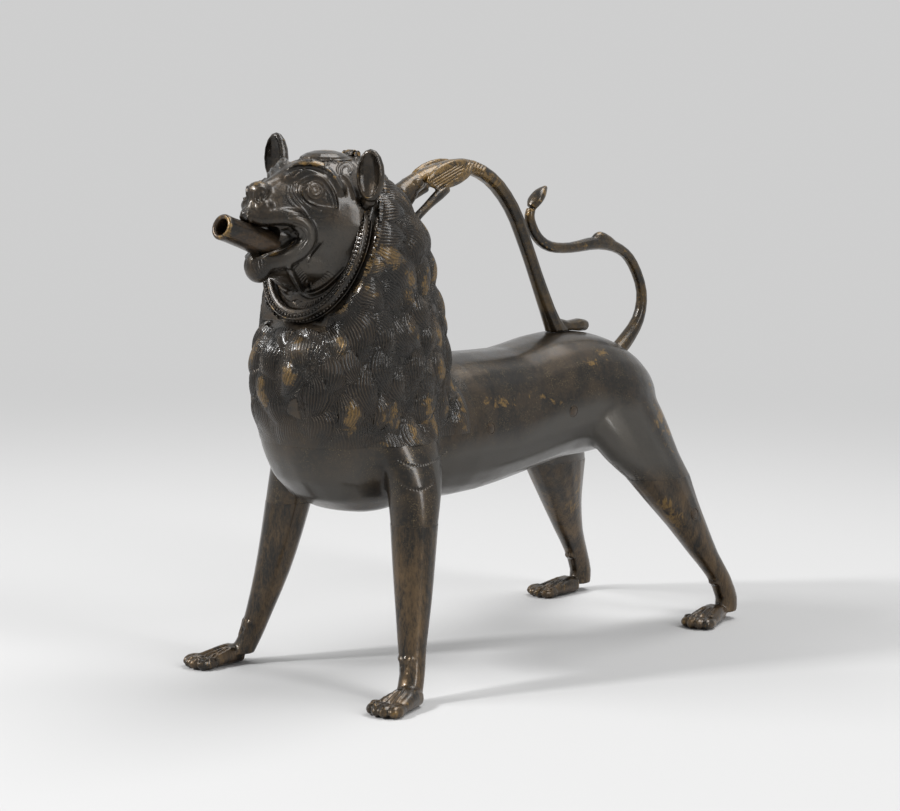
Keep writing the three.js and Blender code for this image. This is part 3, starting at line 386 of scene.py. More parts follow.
@dataclass(frozen=True)
class Bronze:
    """One bronze finish: the colours of its patina, its painted sheen and painted groove shade, its shine and
    its grain.
    """

    name: str
    slot: Slot
    dark: Tint = (0.014, 0.0118, 0.0092)
    brown: Tint = (0.044, 0.030, 0.017)
    tan: Tint = (0.105, 0.066, 0.031)
    ochre: Tint = (0.170, 0.098, 0.022)
    # The grey laid as colour where a sheen is painted on smooth flanks, chest and cheeks.
    grey: Tint = (0.066, 0.061, 0.053)
    cloud: float = 55.0
    streak: Point = (1.0, 1.0, 1.0)
    worn: float = 0.0
    shine: float = 0.29
    metal: float = 0.75
    coat: float = 0.5
    grain: float = 1100.0
    depth: float = 0.22
    pits: float = 0.8
    flecks: float = 0.25
    lines: float = 0.0
    fleck: Tint = (0.22, 0.165, 0.08)
    pit: Tint = (0.006, 0.005, 0.004)
    # The dark laid in the grooves between strands: painted shade, with some dust.
    groove_dust_and_shade: Tint = (0.004, 0.0034, 0.0028)
    dirt: Tint = (0.008, 0.0065, 0.005)
    rub_scale: float = 170.0
    fleck_scale: float = 1300.0
    coat_rough: float = 0.16
    bump: float = 0.0005

    def group(self, nodes: Nodes, tree: bpy.types.NodeTree, **inputs: object) -> bpy.types.NodeOutputs:
        """Returns the outputs of a shared effect, placed with this finish's own values."""
        node = nodes.add("Group", node_tree=tree)
        for title, value in inputs.items():
            nodes.feed(node.inputs[title], value)
        return node.outputs

    def colours(self, nodes: Nodes, effects: Effects, place: object, there: object) -> tuple:
        """Builds the colour of the patina, its painted grey sheen, and the rubbed metal in it.

        Args:
            nodes: the maker of the material's nodes.
            effects: the shared effects.
            place: the place on the piece.
            there: the same place, drawn out along the streaks.

        Returns:
            The colour, the patina's cloud, and where the bronze is rubbed.
        """
        brown = nodes.mix(nodes.value("warm"), self.brown, self.tan)
        cloud = self.group(nodes, effects.mottle, Vector=there, Scale=self.cloud, Dark=self.dark, Brown=brown)
        grey = nodes.value("grey")
        worn = nodes.plus(nodes.value("worn"), self.worn)
        rub = self.group(nodes, effects.rub, Vector=there, Worn=worn, Scale=self.rub_scale)["Mask"]
        fleck = self.group(nodes, effects.fleck, Vector=place, Scale=self.fleck_scale,
                           Amount=self.flecks)["Mask"]
        # Painted sheen: a grey colour laid where the smooth metal shows a sheen.
        colour = nodes.mix(grey, cloud["Color"], self.grey)
        colour = nodes.mix(nodes.times(fleck, nodes.math("SUBTRACT", 1.0, grey)), colour, self.fleck)
        return nodes.mix(rub, colour, self.ochre), cloud["Cloud"], rub

    def make(self, effects: Effects) -> bpy.types.Material:
        """Returns the material."""
        material = bpy.data.materials.new(self.name)
        material.use_nodes = True
        nodes = Nodes(material.node_tree)
        shader = material.node_tree.nodes["Principled BSDF"]
        place = nodes.add("TexCoord").outputs["Object"]
        drawn = nodes.add("Mapping")
        nodes.feed(drawn.inputs["Vector"], place)
        drawn.inputs["Scale"].default_value = self.streak
        colour, cloud, rub = self.colours(nodes, effects, place, drawn.outputs[0])
        grey, grime = nodes.value("grey"), nodes.value("grime")
        height = self.group(nodes, effects.grain, Vector=place, Scale=self.grain, Pits=self.pits)["Height"]
        colour = nodes.mix(nodes.times(nodes.stretch(height, 0.42, 0.05), 0.6), colour, self.pit)
        if self.lines:
            strand, comb = nodes.value("strand"), nodes.value("comb")
            ridge = self.group(nodes, effects.combing, Strand=strand, Comb=comb, Vector=place)["Height"]
            height = nodes.plus(height, nodes.times(ridge, self.lines))
            # Painted shade with some dust: the grooves between the strands are darkened in colour.
            groove_dust_and_shade_mask = nodes.math("MULTIPLY", nodes.math("SUBTRACT", comb, ridge), 0.9, True)
            colour = nodes.mix(groove_dust_and_shade_mask, colour, self.groove_dust_and_shade)
        colour = nodes.mix(nodes.times(grime, 0.82), colour, self.dirt)
        nodes.feed(shader.inputs["Base Color"], colour)
        rough = nodes.plus(nodes.times(cloud, 0.10), self.shine)
        for mask, share in ((grime, 0.22), (rub, 0.10)):
            rough = nodes.plus(rough, nodes.times(mask, share))
        nodes.feed(shader.inputs["Roughness"], nodes.plus(rough, nodes.times(grey, 0.05), True))
        nodes.feed(shader.inputs["Metallic"], nodes.plus(nodes.times(rub, -0.25), self.metal, True))
        shader.inputs["Coat Weight"].default_value = self.coat
        shader.inputs["Coat Roughness"].default_value = self.coat_rough
        bump = nodes.add("Bump")
        bump.inputs["Strength"].default_value = self.depth
        bump.inputs["Distance"].default_value = self.bump
        nodes.feed(bump.inputs["Height"], height)
        nodes.feed(shader.inputs["Normal"], bump.outputs[0])
        return material


class Palette:
    """The finishes of the lion, made once and laid on its pieces."""

    finishes = (
        Bronze("hide_bronze", Slot.DARK, flecks=0.65),
        Bronze("mane_bronze", Slot.DARK, lines=3.0, depth=0.5, shine=0.26, dark=(0.022, 0.019, 0.015)),
        Bronze("face_bronze", Slot.DARK, cloud=85.0, shine=0.26, flecks=0.15, depth=0.6, pits=3.2,
               grain=800.0, lines=2.4),
        Bronze("leg_bronze", Slot.DARK, cloud=75.0, streak=(1.5, 1.5, 0.45)),
        Bronze("handle_bronze", Slot.WORN, brown=(0.075, 0.047, 0.017), cloud=90.0, shine=0.32, flecks=0.1),
        Bronze("spout_bronze", Slot.SPOUT, brown=(0.065, 0.038, 0.018), cloud=110.0, shine=0.33,
               streak=(1, 0.5, 1)),
        Bronze("plug_bronze", Slot.PLUG, dark=(0.03, 0.022, 0.015), brown=(0.10, 0.06, 0.03), cloud=140.0),
        Bronze("pin_bronze", Slot.PIN, dark=(0.12, 0.07, 0.03), brown=(0.30, 0.19, 0.08), worn=0.5,
               shine=0.28),
    )

    def __init__(self) -> None:
        """Makes every finish."""
        effects = Effects()
        self.made = {finish.name: finish.make(effects) for finish in self.finishes}
        self.slots = {finish.name: finish.slot for finish in self.finishes}

    def lay(self, piece: Piece, name: str) -> None:
        """Gives a piece one finish all over."""
        piece.data.materials.clear()
        piece.data.materials.append(self.made[name])


class Weather:
    """Marks on a piece's points where the casting is worn or grimy, and where a grey sheen is painted."""

    @staticmethod
    def crest(piece: Piece, rounds: int) -> np.ndarray:
        """Returns how far each point stands out of what surrounds it, about 1 on the sharpest crests."""
        mesh = piece.data
        count = len(mesh.vertices)
        ends = np.empty(len(mesh.edges) * 2, np.int32)
        mesh.edges.foreach_get("vertices", ends)
        a, b = ends[0::2], ends[1::2]
        start, stop = np.concatenate([a, b]), np.concatenate([b, a])
        around = np.maximum(np.bincount(start, minlength=count), 1)
        places, normals = Relief.points(piece, "co"), Relief.points(piece, "normal")
        smooth = places.copy()
        for _ in range(rounds):
            sums = [np.bincount(start, smooth[stop, k], count) for k in range(3)]
            smooth = np.stack(sums, axis=1) / around[:, None]
        crest = ((places - smooth) * normals).sum(axis=1) / MM
        return crest / (np.percentile(np.abs(crest), 96) + 1e-6)

    @staticmethod
    def layer(piece: Piece, name: str, values: np.ndarray) -> None:
        """Writes one named value on each of a piece's points."""
        layer = piece.data.attributes.new(name, "FLOAT", "POINT")
        layer.data.foreach_set("value", values.astype(np.float32))

    @staticmethod
    def paint(piece: Piece, **layers: np.ndarray) -> None:
        """Writes named values, held between 0 and 1, on a piece's points."""
        for name, values in layers.items():
            Weather.layer(piece, name, np.clip(values, 0, 1))

    @staticmethod
    def age(piece: Piece, worn: object = 0.0, grey: object = 0.0, edge: float = 1.0,
            rounds: int = 6) -> None:
        """Wears the crests of a piece, darkens its hollows and lays its painted grey sheen.

        Args:
            piece: the piece to mark.
            worn: how far it is rubbed down already, all over or point by point.
            grey: how much painted grey sheen it has, in the same way.
            edge: how strongly crests and hollows show.
            rounds: how broad the crests and hollows are.
        """
        crest = Weather.crest(piece, rounds) * edge
        flat = np.ones(len(crest))
        Weather.paint(piece, worn=flat * worn + np.clip(crest - 0.35, 0, 0.8) * 0.45,
                      grey=flat * grey, grime=np.clip(-crest - 0.12, 0, 1.0))


class Bench:
    """Modelling steps that several pieces share."""

    @staticmethod
    def clear() -> None:
        """Deselects everything."""
        bpy.ops.object.select_all(action="DESELECT")

    @staticmethod
    def pick(*pieces: Piece) -> None:
        """Selects only these pieces and makes the first one active."""
        if bpy.context.object and bpy.context.object.mode != "OBJECT":
            bpy.ops.object.mode_set(mode="OBJECT")
        Bench.clear()
        for piece in pieces:
            piece.select_set(True)
        bpy.context.view_layer.objects.active = pieces[0]

    @staticmethod
    def edit(piece: Piece) -> None:
        """Opens one piece in edit mode with everything selected."""
        Bench.pick(piece)
        bpy.ops.object.mode_set(mode="EDIT")
        bpy.ops.mesh.select_mode(type="VERT")
        bpy.ops.mesh.select_all(action="SELECT")

    @staticmethod
    def close() -> None:
        """Leaves edit mode."""
        bpy.ops.object.mode_set(mode="OBJECT")

    @staticmethod
    def put(name: str, mesh: bpy.types.Mesh) -> Piece:
        """Returns a new object that holds a mesh, in the scene."""
        piece = bpy.data.objects.new(name, mesh)
        bpy.context.scene.collection.objects.link(piece)
        return piece

    @staticmethod
    def copy_node(node: str) -> Piece:
        """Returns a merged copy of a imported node, which itself stays as it is."""
        source = bpy.data.objects[node]
        piece = Bench.put(f"{node}_copy", source.data.copy())
        piece.data.materials.clear()
        Bench.edit(piece)
        bpy.ops.mesh.remove_doubles(threshold=2e-6)
        Bench.close()
        return piece

    @staticmethod
    def twin(piece: Piece, name: str) -> Piece:
        """Returns a copy of a piece with a mesh of its own."""
        return Bench.put(name, piece.data.copy())

    @staticmethod
    def label(piece: Piece, name: str) -> Piece:
        """Names a piece and its mesh, and returns it."""
        piece.name = piece.data.name = name
        return piece

    @staticmethod
    def join(name: str, pieces: Sequence[Piece]) -> Piece:
        """Returns the pieces joined in one object."""
        Bench.pick(*pieces)
        if len(pieces) > 1:
            bpy.ops.object.join()
        return Bench.label(bpy.context.object, name)

    @staticmethod
    def drop(*pieces: Piece) -> None:
        """Removes pieces that are no longer needed."""
        for piece in pieces:
            mesh = piece.data
            bpy.data.objects.remove(piece)
            if mesh and mesh.users == 0 and isinstance(mesh, bpy.types.Mesh):
                bpy.data.meshes.remove(mesh)

    @staticmethod
    def settle(piece: Piece) -> Piece:
        """Puts a piece's place, turn and size into its mesh and returns it."""
        Bench.pick(piece)
        bpy.ops.object.transform_apply(location=True, rotation=True, scale=True)
        return piece

    @staticmethod
    def modify(piece: Piece, kind: str, **settings: object) -> None:
        """Adds one modifier with its settings and applies it."""
        Bench.pick(piece)
        modifier = piece.modifiers.new(kind.lower(), kind)
        for key, value in settings.items():
            setattr(modifier, key, value)
        bpy.ops.object.modifier_apply(modifier=modifier.name)

    @staticmethod
    def remesh(piece: Piece, voxel: float, smooth: int = 0) -> None:
        """Merges overlapping closed forms in one skin, then smooths it.

        Args:
            piece: the object whose forms are merged.
            voxel: the grid's step in millimetres.
            smooth: how many smoothing rounds follow.
        """
        Bench.modify(piece, "REMESH", mode="VOXEL", voxel_size=voxel * MM, use_smooth_shade=True)
        if smooth:
            Bench.modify(piece, "SMOOTH", factor=0.5, iterations=smooth)

    @staticmethod
    def ball(centre: Vector, radii: Point) -> Piece:
        """Returns an egg-shaped form.

        Args:
            centre: its middle, in metres.
            radii: half its size along x, y and z, in millimetres.
        """
        Bench.clear()
        bpy.ops.mesh.primitive_uv_sphere_add(segments=32, ring_count=16, radius=MM, location=centre)
        bpy.context.object.scale = radii
        return Bench.settle(bpy.context.object)

    @staticmethod
    def block(size: Sequence[float], middle: Vector, unit: float = 1.0, lean: float = 0.0) -> Piece:
        """Returns a closed block.

        Args:
            size: its width, length and height.
            middle: its middle, in metres.
            unit: how many metres one step of the size is.
            lean: its turn about the x axis, in radians.
        """
        Bench.clear()
        bpy.ops.mesh.primitive_cube_add(size=unit)
        block = bpy.context.object
        block.scale = size
        block.rotation_euler = (lean, 0.0, 0.0)
        block.location = middle
        return Bench.settle(block)

    @staticmethod
    def group(piece: Piece, name: str, chosen: np.ndarray) -> None:
        """Gives a piece a named group of the chosen points."""
        group = piece.vertex_groups.new(name=name)
        group.add([int(k) for k in np.nonzero(chosen)[0]], 1.0, "REPLACE")

    @staticmethod
    def tube(points: Sequence[Vector], radii: Sequence[float], sides: int) -> Piece:
        """Returns a round bar that follows points on a smooth line.

        Args:
            points: the points, in metres.
            radii: the bar's radius at each point in millimetres.
            sides: how many sides the bar has.
        """
        data = bpy.data.curves.new("bar", "CURVE")
        data.dimensions = "3D"
        data.resolution_u = 6
        data.bevel_depth = MM
        data.bevel_resolution = max(0, sides // 2 - 2)
        data.use_fill_caps = True
        spline = data.splines.new("BEZIER")
        spline.bezier_points.add(len(points) - 1)
        for spot, place, radius in zip(spline.bezier_points, points, radii):
            spot.co = place
            spot.radius = radius
            spot.handle_left_type = spot.handle_right_type = "AUTO"
        piece = bpy.data.objects.new("bar", data)
        bpy.context.scene.collection.objects.link(piece)
        Bench.pick(piece)
        bpy.ops.object.convert(target="MESH")
        return bpy.context.object

    @staticmethod
    def turned(stops: Sequence[Spot], segments: int, tube: bool = False) -> Piece:
        """Returns a closed form turned about the z axis from rings.

        Args:
            stops: each ring's radius and height in millimetres, in order.
            segments: how many sides a ring has.
            tube: whether the last ring joins the first, so that the form is open along its axis.
        """
        Bench.clear()
        radius, height = stops[0]
        bpy.ops.mesh.primitive_circle_add(vertices=segments, radius=radius * MM, location=(0, 0, 0))
        piece = bpy.context.object
        Bench.edit(piece)
        bpy.ops.transform.translate(value=(0, 0, height * MM))
        for r, z in stops[1:]:
            rise, grow = (0, 0, (z - height) * MM), r / radius
            bpy.ops.mesh.extrude_edges_move(TRANSFORM_OT_translate={"value": rise})
            bpy.ops.transform.resize(value=(grow, grow, 1.0), center_override=(0, 0, z * MM))
            radius, height = r, z
        bpy.ops.mesh.select_all(action="DESELECT")
        bpy.ops.mesh.select_mode(type="EDGE")
        bpy.ops.mesh.select_non_manifold()
        if tube:
            bpy.ops.mesh.bridge_edge_loops()
        else:
            bpy.ops.mesh.fill_holes(sides=0)
        bpy.ops.mesh.select_all(action="SELECT")
        bpy.ops.mesh.normals_make_consistent(inside=False)
        Bench.close()
        return piece

    @staticmethod
    def keep(piece: Piece, point: Vector, normal: Vector) -> None:
        """Cuts a piece by a plane, closes the cut and keeps the side the normal points to."""
        Bench.edit(piece)
        bpy.ops.mesh.bisect(plane_co=point, plane_no=normal, use_fill=True, clear_inner=True)
        Bench.close()

    @staticmethod
    def cut(piece: Piece, cutter: Piece) -> None:
        """Cuts a piece with a closed form, which is then removed."""
        Bench.modify(piece, "BOOLEAN", operation="DIFFERENCE", solver="MANIFOLD", object=cutter)
        Bench.drop(cutter)

    @staticmethod
    def islands(piece: Piece) -> list[Piece]:
        """Divides a piece into its loose parts and returns them."""
        Bench.edit(piece)
        bpy.ops.mesh.separate(type="LOOSE")
        Bench.close()
        return list(bpy.context.selected_objects)

    @staticmethod
    def soften(piece: Piece, angle: float = 50.0) -> None:
        """Shades a piece smooth, except across edges sharper than the angle."""
        Bench.pick(piece)
        bpy.ops.object.shade_smooth_by_angle(angle=math.radians(angle))

    @staticmethod
    def tree(piece: Piece) -> BVHTree:
        """Returns a search tree over a piece's faces."""
        verts = [v.co for v in piece.data.vertices]
        faces = [tuple(p.vertices) for p in piece.data.polygons]
        return BVHTree.FromPolygons(verts, faces)


class Relief:
    """Raises and sinks the skin of a piece along its own normals."""

    def __init__(self, piece: Piece) -> None:
        """Reads the piece's points and normals."""
        self.piece = piece
        self.read()

    @staticmethod
    def points(piece: Piece, kind: str) -> np.ndarray:
        """Returns a piece's places or normals, one row a point."""
        values = np.empty(len(piece.data.vertices) * 3)
        piece.data.vertices.foreach_get(kind, values)
        return values.reshape(-1, 3)

    def read(self) -> None:
        """Reads the piece's points, in millimetres, and normals."""
        self.places = Relief.points(self.piece, "co") / MM
        self.normals = Relief.points(self.piece, "normal")
        self.lift = np.zeros(len(self.places))

    def near(self, path: np.ndarray, reach: float) -> tuple[np.ndarray, np.ndarray]:
        """Finds the skin's points near a path.

        Args:
            path: the path's points, in millimetres.
            reach: how far from the path a point may be.

        Returns:
            The numbers of those points, and their distances from the path.
        """
        if not len(path):
            return np.zeros(0, int), np.zeros(0)
        low, high = path.min(0) - reach, path.max(0) + reach
        inside = np.all((self.places > low) & (self.places < high), axis=1)
        index = np.nonzero(inside)[0]
        if not len(index):
            return index, np.zeros(0)
        spots = self.places[index]
        best = np.full(len(index), 1e9)
        starts = path[:-1] if len(path) > 1 else path
        ends = path[1:] if len(path) > 1 else path
        for start, end in zip(starts, ends):
            run = end - start
            along = np.clip((spots - start) @ run / max(run @ run, 1e-9), 0, 1)
            away = np.linalg.norm(spots - start - along[:, None] * run, axis=1)
            best = np.minimum(best, away)
        close = best < reach
        return index[close], best[close]

    def line(self, path: np.ndarray, height: float, width: float) -> None:
        """Raises a rounded line along a path, or sinks it where the height is below zero.

        Args:
            path: the path's points, in millimetres.
            height: the line's height at its middle.
            width: half the line's width.
        """
        index, away = self.near(path, width * 2.2)
        self.lift[index] += height * np.exp(-((away / width) ** 2))

    def refine(self, paths: Sequence[np.ndarray], reach: float, cuts: int) -> None:
        """Divides the faces near the paths more finely.

        Args:
            paths: the paths, in millimetres.
            reach: how far from a path the faces are divided.
            cuts: how many times each edge is cut.
        """
        marked = np.zeros(len(self.places), bool)
        for path in paths:
            index, _ = self.near(path, reach)
            marked[index] = True
        Bench.edit(self.piece)
        bpy.ops.mesh.select_all(action="DESELECT")
        Bench.close()
        self.piece.data.vertices.foreach_set("select", marked)
        bpy.ops.object.mode_set(mode="EDIT")
        bpy.ops.mesh.subdivide(number_cuts=cuts, smoothness=0.0)
        Bench.close()
        self.read()

    def apply(self) -> None:
        """Moves the skin's points by what the lines ask for."""
        moved = (self.places + self.normals * self.lift[:, None]) * MM
        self.piece.data.vertices.foreach_set("co", moved.ravel())
        self.piece.data.update()
        self.read()


@dataclass(frozen=True)
class Trace:
    """Lays lines of sight on a skin, on the left side, and mirrors them to the right."""

    view: Viewpoint
    skin: BVHTree

    def hit(self, spot: Spot) -> Optional[Vector]:
        """Returns where the line of sight through a spot meets the skin."""
        place, _, _, _ = self.skin.ray_cast(self.view.station(), self.view.sight(spot))
        return place

    def path(self, spots: Sequence[Spot], side: Side = Side.LEFT, step: float = 0.8) -> np.ndarray:
        """Returns a path on the skin through spots of the picture.

        Args:
            spots: the spots of the picture that the path passes.
            side: the side of the lion it ends up on.
            step: how far apart the path's points are, in millimetres.

        Returns:
            The path's points in millimetres.
        """
        corners = np.array(spots, float)
        smooth = Trace.round_off(corners, 8)
        places = [p for p in (self.hit(tuple(s)) for s in smooth) if p is not None]
        if len(places) < 2:
            LOG.warning("the line from %s misses the skin", spots[0])
            return np.zeros((0, 3))
        points = np.array([tuple(p) for p in places]) / MM
        if side is Side.RIGHT:
            points = points * np.array([-1.0, 1.0, 1.0])
            found = [self.skin.find_nearest(Vector(p) * MM)[0] for p in points]
            points = np.array([tuple(p) for p in found]) / MM
        return Trace.even(points, step)

    @staticmethod
    def round_off(corners: np.ndarray, steps: int) -> np.ndarray:
        """Returns a smooth line through corner points, with so many steps between two."""
        if len(corners) < 3:
            return np.linspace(corners[0], corners[-1], steps)
        ends = np.vstack([2 * corners[0] - corners[1], corners, 2 * corners[-1] - corners[-2]])
        line = []
        for a, b, c, d in zip(ends[:-3], ends[1:-2], ends[2:-1], ends[3:]):
            for t in np.linspace(0, 1, steps, endpoint=False):
                line.append(0.5 * (2 * b + (c - a) * t + (2 * a - 5 * b + 4 * c - d) * t**2
                                   + (3 * b - a - 3 * c + d) * t**3))
        line.append(corners[-1])
        return np.array(line)

    @staticmethod
    def even(points: np.ndarray, step: float) -> np.ndarray:
        """Returns a path with its points at even distances."""
        if len(points) < 2:
            return points
        runs = np.linalg.norm(np.diff(points, axis=0), axis=1)
        reach = np.concatenate([[0], np.cumsum(runs)])
        count = max(2, int(reach[-1] / step) + 1)
        spots = np.linspace(0, reach[-1], count)
        return np.stack([np.interp(spots, reach, points[:, k]) for k in range(3)], axis=1)


@dataclass(frozen=True)
class Stencil:
    """Finds the points of a skin that lie inside shapes drawn on the picture, on both sides."""

    view: Viewpoint
    measure: Measure

    def spots(self, places: np.ndarray) -> np.ndarray:
        """Returns the spots of places, in millimetres, folded to the seen side of the lion."""
        folded = places.copy()
        folded[:, 0] = np.abs(folded[:, 0])
        return self.view.project(folded * MM)

    @staticmethod
    def within(spots: np.ndarray, outline: Sequence[Spot]) -> np.ndarray:
        """Returns which spots lie inside an outline."""
        inside = np.zeros(len(spots), bool)
        x, y = spots[:, 0], spots[:, 1]
        corners = np.array(outline, float)
        for (ax, ay), (bx, by) in zip(corners, np.roll(corners, -1, axis=0)):
            spans = (ay > y) != (by > y)
            cross = (bx - ax) * (y - ay) / np.where(by == ay, 1e-9, by - ay) + ax
            inside ^= spans & (x < cross)
        return inside

    @staticmethod
    def dabs(spots: np.ndarray, dabs: Sequence[tuple[float, float, float, float, float]]) -> np.ndarray:
        """Returns how strongly soft oval dabs cover the spots.

        Args:
            spots: the spots of the skin's points.
            dabs: each dab's middle, its half length and half width, and its turn in degrees.
        """
        cover = np.zeros(len(spots))
        for x, y, long, wide, turn in dabs:
            t = math.radians(turn)
            u = (spots[:, 0] - x) * math.cos(t) + (spots[:, 1] - y) * math.sin(t)
            v = -(spots[:, 0] - x) * math.sin(t) + (spots[:, 1] - y) * math.cos(t)
            cover = np.maximum(cover, np.exp(-((u / long) ** 2 + (v / wide) ** 2)))
        return cover


@dataclass
class Casting:
    """The neck, chest, trunk and legs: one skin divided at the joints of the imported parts."""

    measure: Measure
    view: Viewpoint
    trunk_voxel: float = 1.25
    leg_voxel: float = 0.8
    mane_voxel: float = 0.58
    joint: float = 98.0
    hem: float = 143.0
    barrel: float = 116.0
    neck: float = 211.0
    cheek_joint: float = 0.6
    crown_joint: float = 7.0
    crown_from: float = 36.0
    under_collar: float = -46.0
    toe_pitch: float = 5.2
    parts: tuple = (
        "body_shell", "chest_shell", "neck_shell", "head_shell", "front_left_leg", "front_right_leg",
        "hind_left_leg", "hind_right_leg", "filling_lid", "spout_tube", "belly_patch", "core_plug_left_flank",
        "core_plug_right_flank", "core_plug_left_loin", "core_plug_right_loin", "core_plug_left_thigh",
        "core_plug_right_thigh",
    )
    punched: tuple = (
        ((396, 434), (408, 440), (421, 441), (434, 437), (446, 428), (453, 418)),
        ((399, 460), (410, 465), (423, 465), (436, 460), (447, 451)),
        ((401, 485), (411, 489), (423, 489), (434, 484)),
        ((634, 470), (640, 486), (650, 500), (663, 512), (677, 521)),
        ((628, 486), (636, 502), (648, 516), (662, 527)),
    )
    rubs: tuple = (
        (500, 402, 26, 8, 8), (592, 362, 24, 7, -4), (604, 352, 12, 7, 30), (664, 420, 46, 12, 72),
        (650, 352, 20, 8, 40), (545, 398, 26, 7, 10), (668, 505, 28, 8, 70), (430, 330, 16, 8, 60),
    )
    # Spots of the picture below which the lower flank gets a painted grey sheen.
    grey_line: tuple = (
        (380, 470), (470, 436), (520, 430), (560, 404), (600, 388), (640, 398), (680, 470), (720, 560),
    )
    punch: Spot = (-0.55, 0.62)
    tendon: Spot = (0.75, 1.25)
    cleft: Spot = (-0.95, 0.8)
    leg_rounds: int = 14
    trunk_rounds: int = 36
    mane_rounds: int = 70
    whole: Optional[BVHTree] = None
    legs: dict = field(default_factory=dict)
    shells: dict = field(default_factory=dict)

    def skin(self, voxel: float, rounds: int, mane: int = 0) -> Piece:
        """Returns the outside of the whole vessel as one skin.

        Args:
            voxel: the step of the grid that merges the parts, in millimetres.
            rounds: how many smoothing rounds it gets above the paws.
            mane: how many more rounds the place of the mane gets.
        """
        copies = [Bench.copy_node(node) for node in self.parts]
        copies.append(Bench.ball(self.measure.at(0, 5, 250), (9, 9, 9)))
        skin = Bench.join("skin", copies)
        Bench.remesh(skin, voxel, 2)
        places = Relief(skin).places
        Bench.group(skin, "hide", places[:, 2] > 22)
        Bench.modify(skin, "SMOOTH", factor=0.5, iterations=rounds, vertex_group="hide")
        if mane:
            y = self.measure.behind(places)
            Bench.group(skin, "mane", (places[:, 2] > 132) & (y < 124))
            Bench.modify(skin, "SMOOTH", factor=0.5, iterations=mane, vertex_group="mane")
        return skin

    def slab(self, near: float, far: float, low: float, high: float) -> Piece:
        """Returns a closed block square to the collar's disc.

        Args:
            near: where it starts behind the disc, in millimetres.
            far: where it ends behind the disc.
            low: where it starts above the disc's middle.
            high: where it ends above the disc's middle.
        """
        t = math.radians(TILT)
        back, up = Vector((0.0, math.cos(t), -math.sin(t))), Vector((0.0, math.sin(t), math.cos(t)))
        middle = self.measure.at(*COLLAR) + (back * (near + far) + up * (low + high)) * MM / 2
        return Bench.block((300.0, far - near, high - low), middle, MM, -t)

    def spare_head(self, piece: Piece) -> None:
        """Cuts from a skin what the head's own piece shows."""
        Bench.cut(piece, self.slab(-200, self.cheek_joint, self.under_collar, self.crown_from + 0.4))
        Bench.cut(piece, self.slab(-200, self.crown_joint, self.crown_from, 150))

    def only_head(self, piece: Piece) -> None:
        """Cuts from a skin all but what the head's own piece shows."""
        Bench.cut(piece, self.slab(self.cheek_joint, 250, -200, self.crown_from))
        Bench.cut(piece, self.slab(self.crown_joint, 250, self.crown_from - 0.4, 200))
        Bench.cut(piece, self.slab(-200, 250, -200, self.under_collar))

    def throat(self) -> Piece:
        """Returns the room inside the neck that the open lid shows."""
        line = self.measure.many([(0, 22, 262), (0, 45, 255), (0, 62, 238), (0, 66, 215)])
        throat = Bench.tube(line, [24, 25, 24, 10], 24)
        Bench.remesh(throat, 1.5, 2)
        return throat

    def build(self) -> None:
        """Makes the trunk, the legs and the skin that the mane is chased in."""
        at = self.measure.at
        fine = self.skin(self.leg_voxel, self.leg_rounds)
        self.tone(fine)
        Bench.keep(fine, at(0, 0, self.joint), Vector((0, 0, -1)))
        for piece in Bench.islands(fine):
            middle = sum((Vector(c) for c in piece.bound_box), Vector()) / 8
            side = "left" if middle.x > 0 else "right"
            end = "front" if middle.y < at(0, 180, 0).y else "hind"
            self.legs[f"{end}_{side}"] = piece
            Bench.label(piece, f"{end}_{side}_leg_cast")
            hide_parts(f"{end}_{side}_leg")
        coarse = self.skin(self.trunk_voxel, self.trunk_rounds, self.mane_rounds)
        self.whole = Bench.tree(coarse)
        fore = Bench.twin(coarse, "fore_skin")
        Bench.keep(fore, at(0, 0, self.hem - 5), Vector((0, 0, 1)))
        Bench.keep(fore, at(0, self.barrel + 5, 0), Vector((0, -1, 0)))
        Bench.remesh(fore, self.mane_voxel, 2)
        self.shells["fore"] = fore
        self.tone(coarse)
        low, high = at(-200, -200, self.hem), at(200, self.barrel, 400)
        Bench.cut(coarse, Bench.block(high - low, (low + high) / 2))
        Bench.keep(coarse, at(0, 0, self.joint), Vector((0, 0, 1)))
        Bench.label(coarse, "trunk_cast")
        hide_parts("body_shell", "chest_shell")
        self.shells["trunk"] = coarse

    def comb(self, mane: "Mane") -> None:
        """Chases the mane in its skin and divides that at the joint of the neck."""
        at = self.measure.at
        fore = self.shells.pop("fore")
        self.tone(fore, mane.chase(fore))
        self.spare_head(fore)
        Bench.cut(fore, self.throat())
        Bench.keep(fore, at(0, 0, self.hem), Vector((0, 0, 1)))
        Bench.keep(fore, at(0, self.barrel, 0), Vector((0, -1, 0)))
        neck = Bench.twin(fore, "neck_mane")
        Bench.keep(neck, at(0, 0, self.neck), Vector((0, 0, 1)))
        Bench.keep(fore, at(0, 0, self.neck), Vector((0, 0, -1)))
        Bench.label(fore, "chest_mane")
        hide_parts("chest_shell")
        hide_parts("neck_shell")
        self.shells["chest"], self.shells["neck"] = fore, neck

    def chase(self) -> None:
        """Cuts the punched lines of shoulder and thigh, and shapes the paws."""
        trace = Trace(self.view, self.whole)
        relief = Relief(self.shells["trunk"])
        paths = [trace.path(row, side, 1.9) for row in self.punched for side in Side]
        relief.refine(paths, 2.2, 2)
        for path in paths:
            for point in path:
                relief.line(point[None, :], *self.punch)
        relief.apply()
        for leg in self.legs.values():
            self.shape_paw(leg)

